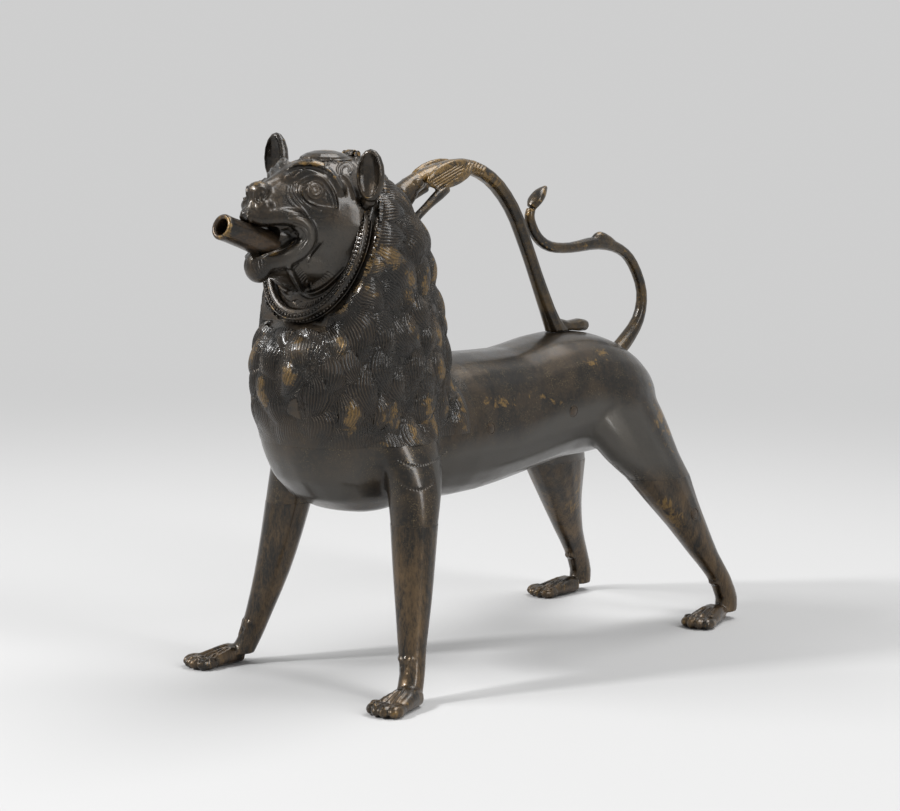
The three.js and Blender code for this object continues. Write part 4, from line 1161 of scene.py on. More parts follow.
    def shape_paw(self, leg: Piece) -> None:
        """Raises the tendons over one paw's toes and sinks the clefts between them."""
        relief = Relief(leg)
        spots = relief.places
        low = spots[spots[:, 2] < 12]
        ankle = spots[(spots[:, 2] > 26) & (spots[:, 2] < 30)].mean(axis=0)
        middle = (low.min(axis=0) + low.max(axis=0)) / 2
        front = low[:, 1].min()
        side = 1 if middle[0] > 0 else -1
        turn = math.radians(8 * side)
        ahead = np.array([math.sin(turn), -math.cos(turn), 0.0])
        across = np.array([math.cos(turn), math.sin(turn), 0.0])
        tip = np.array([low[low[:, 1] < front + 4][:, 0].mean(), front, 0.0])
        skin = Bench.tree(leg)
        ridges, clefts = [], []
        for k in range(7):
            offset = (k - 3) * self.toe_pitch / 2
            start = tip - ahead * (3.5 + 0.10 * offset**2) + across * offset + np.array([0, 0, 6.0])
            stop = ankle + across * offset * 0.42 + ahead * 5.5 - np.array([0, 0, 5.0])
            line = []
            for t in np.linspace(0, 1 if k % 2 == 0 else 0.72, 22):
                spot = start * (1 - t) + stop * t + np.array([0, 0,
                                                              7.0 * math.sin(math.pi * min(t, 1)) * 0.5 + 2])
                place, _, _, _ = skin.find_nearest(Vector(spot) * MM)
                line.append(tuple(place / MM))
            (ridges if k % 2 == 0 else clefts).append(Trace.even(np.array(line), 0.7))
        relief.refine([*ridges, *clefts], 2.4, 1)
        for line in ridges:
            relief.line(line, *self.tendon)
        for line in clefts:
            relief.line(line, *self.cleft)
        relief.apply()

    def tone(self, piece: Piece, hair: Optional[dict] = None) -> None:
        """Marks where the skin is worn, warm and grimy, and paints a grey sheen on its smooth flanks and
        chest.

        Args:
            piece: the skin to mark, whole or in part.
            hair: the layers that the chased hair adds.
        """
        relief = Relief(piece)
        spots = Stencil(self.view, self.measure).spots(relief.places)
        y = self.measure.behind(relief.places)
        z = relief.places[:, 2]
        above = ramp(z, 96, 14)
        # Painted sheen: grey laid on the lower flank below a line on the picture, on the lower trunk and on
        # the low chest.
        edge = np.interp(spots[:, 0], *zip(*self.grey_line))
        grey = ramp(spots[:, 1], edge, 16) * (y > 60) * above
        grey = np.maximum(grey, ramp(z, 128, -14) * above * (y > 96) * (y < 250))
        grey = np.maximum(grey, ramp(z, 150, -30) * above * ramp(y, 40, -20))
        worn = Stencil.dabs(spots, self.rubs) * 0.5
        warm = ramp(z, 112, -40)
        worn = worn + 0.10 * warm + 0.10 * ramp(z, 9, -6)
        crest = Weather.crest(piece, 5)
        grime = np.clip(-crest - 0.2, 0, 1) * 0.6
        if hair:
            grime = np.where(hair["comb"] > 0.05, np.clip(hair["crease"] * 0.55, 0, 1), grime)
            crest = np.where(hair["comb"] > 0.05, 0, crest)
            worn = worn * (hair["comb"] < 0.05) + hair["rub"] * 0.92
            Weather.layer(piece, "strand", hair["strand"])
            Weather.layer(piece, "comb", hair["comb"])
            grey = grey * (1 - np.clip(hair["comb"] * 1.5, 0, 1))
        worn = worn + np.clip(crest - 0.5, 0, 0.8) * 0.22 * (z < 160)
        Weather.paint(piece, worn=worn, grey=grey * 0.85, grime=grime, warm=warm)

    def dress(self, palette: Palette) -> None:
        """Finishes the trunk, the mane and the legs."""
        for name, shell in self.shells.items():
            Bench.soften(shell, 60)
            palette.lay(shell, "hide_bronze" if name == "trunk" else "mane_bronze")
            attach(shell, Body.VESSEL.value)
        for leg in self.legs.values():
            Bench.soften(leg, 60)
            palette.lay(leg, "leg_bronze")
            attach(leg, Body.VESSEL.value)


@dataclass
class Tuft:
    """One tuft of the mane: the line that it follows over the skin, and its own size."""

    spine: np.ndarray
    sides: np.ndarray
    normal: np.ndarray
    size: float
    rubbed: float
    drift: float


@dataclass
class Mane:
    """The hair of the mane, chased into the casting: low pointed tufts of fine strands."""

    measure: Measure
    skin: BVHTree
    length: float = 31.0
    half_width: float = 8.4
    rise: float = 2.7
    pitch: float = 1.8
    depth: float = 0.26
    steps: int = 9
    widest: float = 0.42
    seed: int = 11
    tries: int = 24000
    front_roots: float = -12.0
    step_along: float = 0.50
    step_across: float = 1.42
    tufts: list = field(default_factory=list)

    def back(self) -> np.ndarray:
        """Returns the direction that the collar's disc faces backwards."""
        t = math.radians(TILT)
        return np.array([0.0, math.cos(t), -math.sin(t)])

    def behind(self, spots: np.ndarray) -> np.ndarray:
        """Returns how far places lie behind the collar's disc, in millimetres."""
        return (spots - np.array(COLLAR)) @ self.back()

    def flow(self, spot: np.ndarray, normal: np.ndarray) -> np.ndarray:
        """Returns which way the hair runs at a place: away from the face, then down."""
        low = ramp(spot[2], 236.0, -40.0)
        t = ramp(self.behind(spot), 0.0, 55.0)
        t = max(t * t * (3 - 2 * t), low)
        run = self.back() * (1 - t) + np.array([0.0, 0.12, -1.0]) * t
        run = run - normal * (run @ normal)
        return run / max(np.linalg.norm(run), 1e-6)

    def strength(self, spots: np.ndarray, front: float = 0.3) -> np.ndarray:
        """Returns how much of the full relief the hair has at places, from 0 to 1.

        Args:
            spots: the places, in the lion's millimetres.
            front: how far behind the collar's disc the hair begins.
        """
        x, y, z = spots[..., 0], spots[..., 1], spots[..., 2]
        hem = 106.0 + np.maximum(0.0, 215.0 - z) * 0.08
        low = 141.0 + 8.0 * np.sin(np.abs(x) * 0.09 + 0.5) + np.maximum(0.0, y - 60.0) * 0.12
        share = np.minimum(1.0, np.minimum((hem - y) / 7.0, (z - low) / 24.0 + 0.12))
        face = (self.behind(spots) < front) & (z > 207.5)
        hinge = (np.abs(x) < 13) & (np.abs(y - 49) < 9) & (z > 298.5)
        return np.where(face | hinge, 0.0, np.maximum(share, 0.0))

    def places(self) -> list[tuple[np.ndarray, np.ndarray]]:
        """Returns places spread evenly over the skin where a tuft might be rooted."""
        rng = np.random.default_rng(self.seed)
        toe = self.measure.shift()
        found = []
        for _ in range(self.tries):
            way = rng.normal(size=3)
            way /= np.linalg.norm(way)
            heart = np.array([0.0, rng.uniform(18, 80), rng.uniform(165, 285)])
            place, normal, _, _ = self.skin.ray_cast(Vector(heart + toe) * MM, Vector(way))
            if place is None or normal @ Vector(way) < 0:
                continue
            spot = np.array(place) / MM - toe
            if self.strength(spot, self.front_roots) > 0:
                found.append((spot, np.array(normal)))
        return found

    def spread(self) -> list[np.ndarray]:
        """Chooses the roots of the tufts, evenly but not in a grid."""
        kept: list[np.ndarray] = []
        spots = np.zeros((0, 3))
        for spot, normal in self.places():
            run = self.flow(spot, normal)
            side = np.cross(normal, run)
            if kept:
                gap = spots - spot
                far = ((gap @ run) / (self.length * self.step_along)) ** 2
                far += ((gap @ side) / (self.half_width * self.step_across)) ** 2
                far += ((gap @ normal) / self.half_width) ** 2
                if far.min() < 1.0:
                    continue
            kept.append(spot)
            spots = np.vstack([spots, spot])
        return kept

    def tuft(self, root: np.ndarray, number: int) -> Tuft:
        """Lays the line of one tuft over the skin from its root."""
        rng = np.random.default_rng(self.seed * 1000 + number)
        size = rng.uniform(0.86, 1.16)
        bend = rng.uniform(0.6, 1.25) * (1 if number % 2 else -1)
        toe = self.measure.shift()
        spot = root.copy()
        spine, sides, normals = [], [], []
        stride = self.length * size / (self.steps - 1)
        for k in range(self.steps):
            place, normal, _, _ = self.skin.find_nearest(Vector(spot + toe) * MM)
            spot = np.array(place) / MM - toe
            n = np.array(normal)
            run = self.flow(spot, n)
            side = np.cross(n, run)
            lean = 0.5 * bend * math.cos(k / (self.steps - 1) * math.pi * 1.3 + 0.15)
            way = run * math.cos(lean) + side * math.sin(lean)
            spine.append(spot.copy())
            sides.append(np.cross(n, way))
            normals.append(n)
            spot = spot + way * stride
        middle = self.steps // 2
        nape = ramp(root[1], 24, 62)
        rubbed = float(rng.uniform(0, 1) < 0.30 + 0.55 * nape) * rng.uniform(0.5, 1.0)
        return Tuft(np.array(spine), np.array(sides), normals[middle], size, rubbed, rng.uniform(0, 1))

    def build(self) -> None:
        """Lays out all the tufts."""
        self.tufts = [self.tuft(root, number) for number, root in enumerate(self.spread())]
        LOG.info("the mane has %d tufts", len(self.tufts))

    @staticmethod
    def within(tuft: Tuft, spots: np.ndarray) -> tuple[np.ndarray, np.ndarray]:
        """Returns how far across a tuft's line and how far along it places lie."""
        best = np.full(len(spots), 1e9)
        across, along = np.zeros(len(spots)), np.zeros(len(spots))
        count = len(tuft.spine) - 1
        for k in range(count):
            start, run = tuft.spine[k], tuft.spine[k + 1] - tuft.spine[k]
            t = np.clip((spots - start) @ run / (run @ run), 0, 1)
            reach = spots - start - t[:, None] * run
            away = (reach**2).sum(axis=1)
            nearer = away < best
            best[nearer] = away[nearer]
            across[nearer] = (reach @ tuft.sides[k])[nearer]
            along[nearer] = ((k + t) / count)[nearer]
        return across, along

    def chase(self, piece: Piece) -> dict[str, np.ndarray]:
        """Raises the tufts on a piece's skin and cuts their strands.

        Args:
            piece: the piece whose skin carries part of the mane.

        Returns:
            For each point, the layers that the finish needs: strand, comb, rub and crease.
        """
        relief = Relief(piece)
        spots = relief.places - self.measure.shift()
        count = len(spots)
        claim, lift = np.full(count, -1.0), np.zeros(count)
        strand, rub = np.zeros(count), np.zeros(count)
        for tuft in self.tufts:
            middle = tuft.spine[len(tuft.spine) // 2]
            near = np.nonzero((np.abs(spots - middle) < self.length * 0.62).all(axis=1))[0]
            near = near[relief.normals[near] @ tuft.normal > 0.1]
            if not len(near):
                continue
            u, v = self.within(tuft, spots[near])
            swell = np.sin(np.minimum(v / self.widest, 1) * math.pi / 2) * 0.62 + 0.38
            taper = 1 - 0.9 * ramp(v, self.widest, 0.58) ** 1.5
            width = self.half_width * tuft.size * swell * taper
            tall = np.sin(math.pi * np.clip(v, 0, 1) ** 1.12)
            inside = np.clip(1 - (u / width) ** 2, 0, 1)
            hold = tall**0.5 * (1 - (u / (width + 4.5)) ** 2)
            wins = hold > claim[near]
            rows = near[wins]
            claim[rows] = hold[wins]
            spread = np.maximum(width, self.half_width * 0.5)
            turns = u / spread * (self.half_width * tuft.size / self.pitch)
            strand[rows] = (turns + 0.3 * np.sin(v * 7.0 + tuft.drift * 6.3) + tuft.drift)[wins]
            broad = (0.5 + 0.3 * tuft.drift) * self.half_width * tuft.size
            mound = np.exp(-((u / broad) ** 2) - ((v - 0.5) / 0.32) ** 2)
            rub[near] = np.maximum(rub[near], mound * tuft.rubbed)
            height = self.rise * tuft.size * tall**1.3 * inside**0.85
            lift[near] = np.maximum(lift[near], height)
        strength = self.strength(spots) * (claim > 0)
        comb = strength * (1 - 0.5 * np.clip(rub * 1.4, 0, 1))
        crease = np.clip(0.42 - claim, 0, 0.42) / 0.42 * (claim > 0) * np.clip(strength * 1.6, 0, 1)
        waves = self.depth * np.cos(strand * math.tau) * comb
        relief.lift = lift * strength + waves - 0.5 * crease * strength
        relief.apply()
        rub = rub * np.clip(strength * 1.5, 0, 1)
        return {"strand": strand, "comb": comb, "rub": rub, "crease": crease}


@dataclass(frozen=True)
class Cut:
    """One chased line: where it runs on the picture, how high it stands and how wide it is."""

    spots: tuple
    height: float
    width: float


@dataclass
class Head:
    """The lion's head: skull, muzzle, lips, brows and cheeks, hollow for the water."""

    measure: Measure
    view: Viewpoint
    casting: Casting
    mane: Mane
    voxel: float = 0.8
    rough_voxel: float = 0.9
    nose: Point = (7.2, 6.6, 6.2)
    chin: Point = (8.6, 8.0, 9.6)
    bars: tuple = (
        (((0, -28, 273), (0, -19, 275), (0, -8, 276), (0, 10, 275)), (5.5, 10.5, 16, 22), 20),
        (((0, -19, 250), (0, -8, 248), (0, 6, 247), (0, 20, 246)), (6.5, 11.5, 17, 21), 20),
        (((0, -20, 286), (0, -8, 290), (0, 2, 294), (0, 12, 297)), (4, 5, 6, 6), 16),
        (((0, -15, 262), (0, -8, 261), (0, 6, 260), (0, 20, 258)), (9.8, 12.2, 16.0, 19), 20),
    )
    lips: tuple = (
        (247, 211, 0.5, 3.0), (252, 216, 2.5, 3.6), (262, 218, 5.6, 4.2), (275, 217, 10.0, 4.6),
        (289, 217, 14.6, 4.8), (302, 223, 17.8, 4.8), (308, 235, 19, 5.0), (304, 247, 18, 5.0),
        (292, 256, 14.6, 5.0), (280, 261, 10.0, 4.8), (268, 262, 5.6, 4.4), (260, 262, 2, 3.8),
    )
    brows: tuple = (
        (288, 171, 2, 1.6), (296, 166, 5, 2.4), (306, 164, 9, 2.8), (316, 165, 13, 3.0),
        (325, 169, 17.5, 3.0), (332, 175.5, 22, 2.8), (338, 184, 25.5, 2.4), (343, 194, 28, 1.6),
    )
    rubs: tuple = (
        (256, 183, 10, 5, -12), (310, 163.5, 20, 3.0, 2), (334, 176, 10, 2.6, 55),
        (340, 160, 12, 4, 18), (283, 250, 18, 2.2, -22),
    )
    swells: tuple = (
        ((264.0, 206.5), 6.0, (4.8, 4.8, 4.4)),
        ((317.0, 194.0), 12.0, (12.5, 15.0, 14.5)),
        ((326.0, 236.0), 10.0, (18.0, 18.0, 25.0)),
    )
    taper: tuple = ((-40, 0.5), (-31, 0.55), (-10, 0.74), (0, 0.8), (10, 0.9), (25, 1.0), (90, 1.0))
    lids: tuple = (
        Cut(((307.7, 184.8), (303.3, 188.3), (303.3, 194), (307.7, 200.4), (315.4, 204.8), (323, 206.8),
             (335, 208)), 0.95, 0.62),
        Cut(((297.5, 185.7), (296.9, 190.8), (299.4, 196.6), (305.2, 203.6), (312.8, 208.7), (320.5, 211.2)),
            0.55, 0.5),
        Cut(((298.8, 183.8), (303.9, 180), (310.9, 176.8), (316.6, 176.1), (322.4, 178.1), (326.2, 181.9),
             (330.7, 187.6), (333.9, 194.6), (335.8, 202.9), (336.4, 207.4)), 1.15, 0.85),
        Cut(((303.9, 187.6), (310.3, 182.5), (316.6, 181.9), (323, 185.7), (327.5, 191.5), (330.7, 198.5),
             (332.6, 205.5)), 0.55, 0.42),
    )
    folds: tuple = (
        Cut(((295.6, 181.9), (293, 188.3), (295.6, 195.9), (301.3, 202.9), (310.3, 209.3)), 0.42, 0.5),
        Cut(((291.1, 185.7), (290.5, 192.1), (293, 198.5), (299.4, 206)), 0.42, 0.5),
        Cut(((287.9, 186.4), (287, 194.6), (289.2, 201), (293.7, 206.1)), 0.38, 0.5),
        Cut(((289.2, 168.6), (295.6, 164.8), (302.6, 164.4), (307.7, 163.6), (315.4, 164.4), (323, 167.4),
             (329.4, 171.3), (334.5, 177), (337.7, 182.8), (341.5, 189)), 0.9, 1.0),
        Cut(((293, 176.8), (297, 172.6), (303.9, 168.6)), -0.6, 0.7),
        Cut(((344.1, 176.2), (348.5, 180.7), (351.7, 189.3), (354.4, 197.8)), 0.8, 1.2),
        Cut(((290, 217.5), (300, 216.6), (312, 217.4), (322, 218), (331, 216.5)), -0.6, 1.0),
    )
    nostril: tuple = (
        Cut(((259.1, 203.2), (254.9, 199.5), (254.9, 192.6), (259.1, 187.7), (264.7, 189.1), (266.8, 194),
             (265.6, 198.5), (262.2, 200.5)), 0.85, 0.6),
        Cut(((262.2, 200.5), (259.4, 198.0), (259.6, 194.0), (262.4, 192.8), (263.6, 195.6)), 0.6, 0.45),
    )
    mouth: tuple = (
        Cut(((258.5, 228.4), (266, 227.4), (273.2, 227.0), (282, 227.2), (289.3, 227.7), (294.9, 231.9),
             (299.1, 237.5)), -1.0, 0.75),
        Cut(((247.9, 217.2), (250.6, 221.6), (253.5, 226.3), (256.5, 233), (259.1, 239.6)), 0.9, 0.8),
        Cut(((270.4, 234), (266.5, 238.6), (260.5, 247.4)), 0.6, 0.45),
        Cut(((294.2, 223.5), (302.6, 226.3), (308.2, 231.9), (306.8, 239.6), (300.5, 248.8)), -0.5, 0.5),
        Cut(((300.5, 229), (305.4, 235.4), (303.3, 241)), -0.42, 0.42),
        Cut(((270.4, 241), (280.2, 236.1), (288.6, 235.4), (295.6, 239.6)), 0.6, 0.5),
        Cut(((295.6, 239.6), (290.7, 244.6), (280.2, 248.8), (271, 248.1), (268.6, 244.6), (270.4, 241)),
            0.6, 0.5),
        Cut(((273, 244.6), (281, 241.3), (290, 239.8)), 0.45, 0.4),
        Cut(((257.7, 257.9), (263.6, 255.4), (270.4, 253), (281.6, 248.8), (290.7, 244.6), (297.6, 240)),
            0.85, 0.6),
    )
    cheeks: tuple = (
        Cut(((319.5, 243.2), (315.4, 248.2), (311.8, 253), (308.2, 262.8)), -0.5, 0.5),
        Cut(((323.9, 241.9), (314.7, 253.4), (307.8, 261), (307.8, 266.4)), 0.5, 0.55),
        Cut(((252, 262), (253, 268), (256.5, 274)), -0.4, 0.45),
        Cut(((255.5, 261), (256.5, 268), (259.5, 275)), -0.4, 0.45),
        Cut(((259, 261), (260, 267), (262.5, 273)), -0.4, 0.45),
        Cut(((262.5, 260), (263.4, 266), (265.6, 271)), -0.4, 0.45),
    )
    ruff: tuple = (
        Cut(((289, 266), (291.5, 271), (294.8, 276.3), (300.9, 287), (306, 291), (311.6, 293.2),
             (321.6, 289.3),
             (331.5, 281.7), (344.5, 268.7)), 1.5, 1.0),
        Cut(((287, 270), (291, 280), (297.5, 290.5), (304.5, 296), (311.6, 297.6), (322.6, 293.6),
             (333.5, 285.5)), -0.6, 0.7),
    )
    punches: tuple = (
        (294.8, 300.5), (300, 304.6), (308.6, 305.4), (318.5, 301.6), (331.5, 293.2), (340.7, 284.7),
        (346.8, 279.4),
    )
    gape: tuple = (
        (254, 228.5), (262, 227.4), (273.2, 227), (289.3, 227.7), (294.9, 231.9), (298.6, 237.5),
        (293, 242.5),
        (283, 247), (271, 251.6), (259, 256), (257, 250), (256, 240),
    )
    crown: tuple = (
        Cut(((338.5, 176), (337.5, 168), (343, 162.5), (350, 163.5), (353, 169), (350, 174)), 0.5, 0.55),
        Cut(((341.5, 174), (341.5, 169), (345, 166.2), (349, 168), (348.5, 172)), 0.5, 0.5),
        Cut(((325.5, 166), (325.5, 160), (330.5, 156.5), (336.5, 158.5), (338.5, 163.5)), 0.5, 0.55),
        Cut(((328.5, 165), (329.5, 161.4), (333, 160.6), (335, 163.5)), 0.5, 0.5),
        Cut(((312, 160.5), (314, 155.5), (319.5, 153.6), (325, 156), (326, 160)), 0.5, 0.55),
        Cut(((315.5, 160), (317.6, 157.4), (321, 157.4), (322.6, 160)), 0.5, 0.5),
        Cut(((300, 160.5), (303, 156), (308.5, 155), (312.5, 158)), 0.45, 0.5),
        Cut(((290, 163.5), (293, 159.5), (298, 158.5), (301, 161)), 0.45, 0.5),
        Cut(((344, 159.5), (350, 161), (356, 165.5), (359, 171)), -0.4, 0.5),
        Cut(((340, 155.5), (348, 157), (356, 161.5), (361, 168)), -0.4, 0.5),
    )
    eye: Spot = (315.7, 190.2)
    hair: dict = field(default_factory=dict)
    piece: Optional[Piece] = None

    def both(self, spot: Spot, x: float) -> list[Vector]:
        """Returns a seen place at x millimetres off the middle, and its mirror."""
        place = self.view.meet(spot, x)
        return [place, Vector((-place.x, place.y, place.z))]

    def base(self) -> Piece:
        """Returns the skull, narrowed towards the muzzle, with its small features smoothed away."""
        skull = Bench.copy_node("head_shell")
        Bench.remesh(skull, self.rough_voxel)
        relief = Relief(skull)
        y = self.measure.behind(relief.places)
        stops = np.array(self.taper)
        relief.places[:, 0] *= np.interp(y, stops[:, 0], stops[:, 1])
        skull.data.vertices.foreach_set("co", (relief.places * MM).ravel())
        Bench.group(skull, "face", y < 18)
        Bench.modify(skull, "SMOOTH", factor=0.6, iterations=45, vertex_group="face")
        return skull

    def bar(self, stops: Sequence[tuple[float, float, float, float]], side: Side) -> Piece:
        """Returns a bar through seen places, each with its x and its radius in millimetres."""
        places = [self.view.meet((px, py), x) for px, py, x, _ in stops]
        places = [Vector((side.of(p.x), p.y, p.z)) for p in places]
        return Bench.tube(places, [stop[3] for stop in stops], 14)

    def forms(self) -> list[Piece]:
        """Returns the forms that swell out of the skull."""
        made = [
            Bench.ball(self.view.meet((258.6, 192.0), 0), self.nose),
            Bench.ball(self.view.meet((258.5, 266.0), 0), self.chin),
        ]
        made += [Bench.tube(self.measure.many(line), radii, sides) for line, radii, sides in self.bars]
        for spot, x, radii in self.swells:
            made += [Bench.ball(place, radii) for place in self.both(spot, x)]
        for side in Side:
            made += [self.bar(self.lips, side), self.bar(self.brows, side)]
        return made

    @staticmethod
    def ring(spot: Spot, radius: float) -> tuple:
        """Returns the spots of a ring on the picture."""
        turns = [math.tau * k / 14 for k in range(15)]
        return tuple((spot[0] + radius * math.cos(t), spot[1] + radius * 1.05 * math.sin(t)) for t in turns)

    @staticmethod
    def stroke(spot: np.ndarray, after: np.ndarray, ends: tuple, depth: float, width: float) -> Cut:
        """Returns one short stroke across a line.

        Args:
            spot: where it crosses the line.
            after: a later spot of the line.
            ends: how far out of the line and along it each end is.
            depth: how deep the stroke is cut.
            width: half its width.
        """
        run = (after - spot) / np.linalg.norm(after - spot)
        out = np.array([run[1], -run[0]])
        return Cut(tuple(tuple(spot + out * off + run * on) for off, on in ends), depth, width)

    def strokes(self) -> list[Cut]:
        """Returns the short strokes of the ruff: hatching over its ridge and punches under it."""
        ridge = Trace.round_off(np.array(self.ruff[0].spots, float), 14)[16:-6:3]
        under = Trace.round_off(np.array(self.punches, float), 12)
        over = [self.stroke(*pair, ((3.2, 0.0), (9.8, -2.0)), -0.45, 0.36) for pair in zip(ridge[:-1],
                                                                                           ridge[1:])]
        pairs = zip(under[:-1:3], under[1::3])
        return over + [self.stroke(*pair, ((-2.2, -1.4), (2.4, 1.4)), -0.5, 0.4) for pair in pairs]

    def carve(self, piece: Piece) -> None:
        """Chases the eyes, nostrils, mouth, cheeks, ruff and crown."""
        trace = Trace(self.view, Bench.tree(piece))
        iris = (Cut(self.ring(self.eye, 8.3), 0.4, 0.5), Cut(self.ring(self.eye, 4.7), 0.5, 0.42))
        cuts = [*self.lids, *self.folds, *self.nostril, *self.mouth, *self.cheeks, *self.ruff, *self.crown,
                *iris, *self.strokes()]
        lines = [(cut, trace.path(cut.spots, side, 0.5)) for cut in cuts for side in Side]
        stencil = Stencil(self.view, self.measure)
        relief = Relief(piece)
        self.sink_mouth(relief, stencil)
        relief.refine([path for _, path in lines], 1.5, 1)
        for cut, path in lines:
            if len(path) > 1:
                relief.line(path, cut.height, cut.width)
        relief.apply()

    def sink_mouth(self, relief: Relief, stencil: Stencil) -> None:
        """Sinks the open mouth between the lips."""
        spots = stencil.spots(relief.places)
        back = np.array(self.view.axes()[2])
        mirrored = relief.normals * np.array([-1, 1, 1])
        facing = np.where(relief.places[:, :1] < 0, mirrored, relief.normals) @ back
        y = self.measure.behind(relief.places)
        inside = Stencil.within(spots, self.gape) & (facing > 0.15) & (y < 12) & (y > -26)
        soft = inside.astype(float)
        corners = np.array(self.gape, float)
        near = np.full(len(spots), 9.0)
        for a, b in zip(corners, np.roll(corners, -1, axis=0)):
            run = b - a
            along = np.clip((spots - a) @ run / max(run @ run, 1e-9), 0, 1)
            near = np.minimum(near, np.linalg.norm(spots - a - along[:, None] * run, axis=1))
        soft *= np.clip(near / 3.0, 0, 1)
        relief.lift -= soft * 2.2
        relief.apply()

    def build(self) -> None:
        """Makes the head: its forms, its chased lines and its hair."""
        piece = Bench.join("lion_head", [self.base(), *self.forms()])
        Bench.remesh(piece, self.rough_voxel, 9)
        Bench.remesh(piece, self.voxel, 2)
        self.casting.only_head(piece)
        self.carve(piece)
        self.hair = self.mane.chase(piece)
        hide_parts("head_shell")
        self.piece = piece

    def dress(self, palette: Palette) -> None:
        """Ages and finishes the head."""
        relief = Relief(self.piece)
        spots = Stencil(self.view, self.measure).spots(relief.places)
        y = self.measure.behind(relief.places)
        z = relief.places[:, 2]
        x = np.abs(relief.places[:, 0])
        worn = Stencil.dabs(spots, self.rubs) * (z > 238)
        # Painted sheen: grey laid on the sides of the muzzle and cheeks.
        grey = ramp(x, 8, 10) * ramp(z, 272, -8) * (z > 238) * (y < 26)
        Weather.layer(self.piece, "strand", self.hair["strand"])
        Weather.layer(self.piece, "comb", self.hair["comb"])
        worn = worn * 0.62 + self.hair["rub"] * 0.92
        Weather.age(self.piece, worn=worn, grey=grey * 0.6, edge=0.85, rounds=5)
        Bench.soften(self.piece, 60)
        palette.lay(self.piece, "face_bronze")
        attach(self.piece, Body.VESSEL.value)


@dataclass
class FaceCollar:
    """The strap round the face, with three rails and two rows of beads."""

    measure: Measure
    half_width: float = 37.6
    half_height: float = 45.8
    end: float = 125.0
    front: float = -7.0
    rear: float = -0.7
    pitch: float = 2.5
    bead: float = 0.98
    rail: float = 0.45
    voxel: float = 0.55
    pieces: list = field(default_factory=list)

    def place(self, turn: float, inset: float, depth: float) -> Vector:
        """Returns a place on the strap.

        Args:
            turn: the angle from its lowest point, in degrees.
            inset: how far inside its outer rim, in millimetres.
            depth: how far behind the collar's disc, in millimetres.
        """
        t, a = math.radians(TILT), math.radians(turn)
        x = (self.half_width - inset) * math.sin(a)
        u = -(self.half_height - inset) * math.cos(a)
        up = (0.0, math.sin(t), math.cos(t))
        back = (0.0, math.cos(t), -math.sin(t))
        spot = [COLLAR[k] + up[k] * u + back[k] * depth for k in range(3)]
        return self.measure.at(spot[0] + x, spot[1], spot[2])

    def rails(self) -> list[Piece]:
        """Returns the three raised rails."""
        turns = np.linspace(-self.end, self.end, 61)
        lines = ((3.7, self.front + 0.1), (0.35, self.front + 0.35), (0.1, self.rear - 0.4))
        made = []
        for inset, depth in lines:
            points = [self.place(turn, inset, depth) for turn in turns]
            made.append(Bench.tube(points, [self.rail] * len(points), 8))
        return made

    def beads(self) -> Piece:
        """Returns the two rows of beads."""
        Bench.clear()
        bpy.ops.mesh.primitive_uv_sphere_add(segments=8, ring_count=5, radius=self.bead * MM)
        model = bpy.context.object
        made = []
        for inset, depth in ((2.0, self.front + 0.15), (0.05, (self.front + self.rear) / 2)):
            turns = np.linspace(-self.end, self.end, 721)
            spots = np.array([tuple(self.place(turn, inset, depth)) for turn in turns])
            for spot in Trace.even(spots, self.pitch * MM):
                bead = Bench.twin(model, "bead")
                bead.location = spot
                made.append(bead)
        Bench.drop(model)
        piece = Bench.join("collar_beads", made)
        return Bench.settle(piece)

    def build(self) -> None:
        """Makes the strap, its rails and its beads."""
        strap = Bench.copy_node("face_collar")
        Bench.remesh(strap, self.voxel, 3)
        strap = Bench.join("collar_strap", [strap, *self.rails()])
        Bench.soften(strap)
        self.pieces = [strap, self.beads()]
        for piece in self.pieces:
            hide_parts("face_collar")

    def dress(self, palette: Palette) -> None:
        """Ages and finishes the collar."""
        strap, beads = self.pieces
        Weather.age(strap, edge=1.0, rounds=3)
        Weather.paint(beads, worn=np.full(len(beads.data.vertices), 0.10))
        Bench.soften(beads, 60)
        for piece in self.pieces:
            palette.lay(piece, "face_bronze")
            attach(piece, Body.VESSEL.value)


@dataclass
class Ear:
    """One upright, cupped ear."""

    side: Side
    turn: float = 26.0
    voxel: float = 0.42
    piece: Optional[Piece] = None

    def build(self) -> None:
        """Makes the ear from its casting, softened; the right one looks straight ahead."""
        name = f"{self.side.name.lower()}_ear"
        ear = Bench.copy_node(name)
        if self.side is Side.RIGHT:
            low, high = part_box(name)
            Bench.edit(ear)
            bpy.ops.transform.rotate(value=math.radians(-self.turn), orient_axis="Z",
                                     center_override=(low + high) / 2)
            Bench.close()
        Bench.remesh(ear, self.voxel, 4)
        Bench.label(ear, f"{name}_cast")
        Bench.soften(ear, 70)
        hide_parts(name)
        self.piece = ear

    def dress(self, palette: Palette) -> None:
        """Ages and finishes the ear, worn at its back."""
        relief = Relief(self.piece)
        behind = np.clip(relief.normals[:, 1] * 0.9 + 0.1, 0, 1)
        Weather.age(self.piece, worn=behind * 0.55, edge=1.0, rounds=5)
        palette.lay(self.piece, "face_bronze")
        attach(self.piece, Body.VESSEL.value)


@dataclass
class FillingLid:
    """The hinged lid in the crown: a low dome, worn on its top."""

    voxel: float = 0.45
    piece: Optional[Piece] = None

    def build(self) -> None:
        """Makes the lid from its casting, softened."""
        lid = Bench.copy_node("filling_lid")
        Bench.remesh(lid, self.voxel, 4)
        Bench.label(lid, "lid_plate")
        Bench.soften(lid, 60)
        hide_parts("filling_lid")
        self.piece = lid

    def dress(self, palette: Palette) -> None:
        """Ages and finishes the lid."""
        height = Relief(self.piece).places[:, 2]
        top = np.clip((height - height.max()) / 1.6 + 1, 0, 1)
        Weather.age(self.piece, worn=0.1 + 0.5 * top)
        palette.lay(self.piece, "face_bronze")
        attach(self.piece, Body.LID.value)


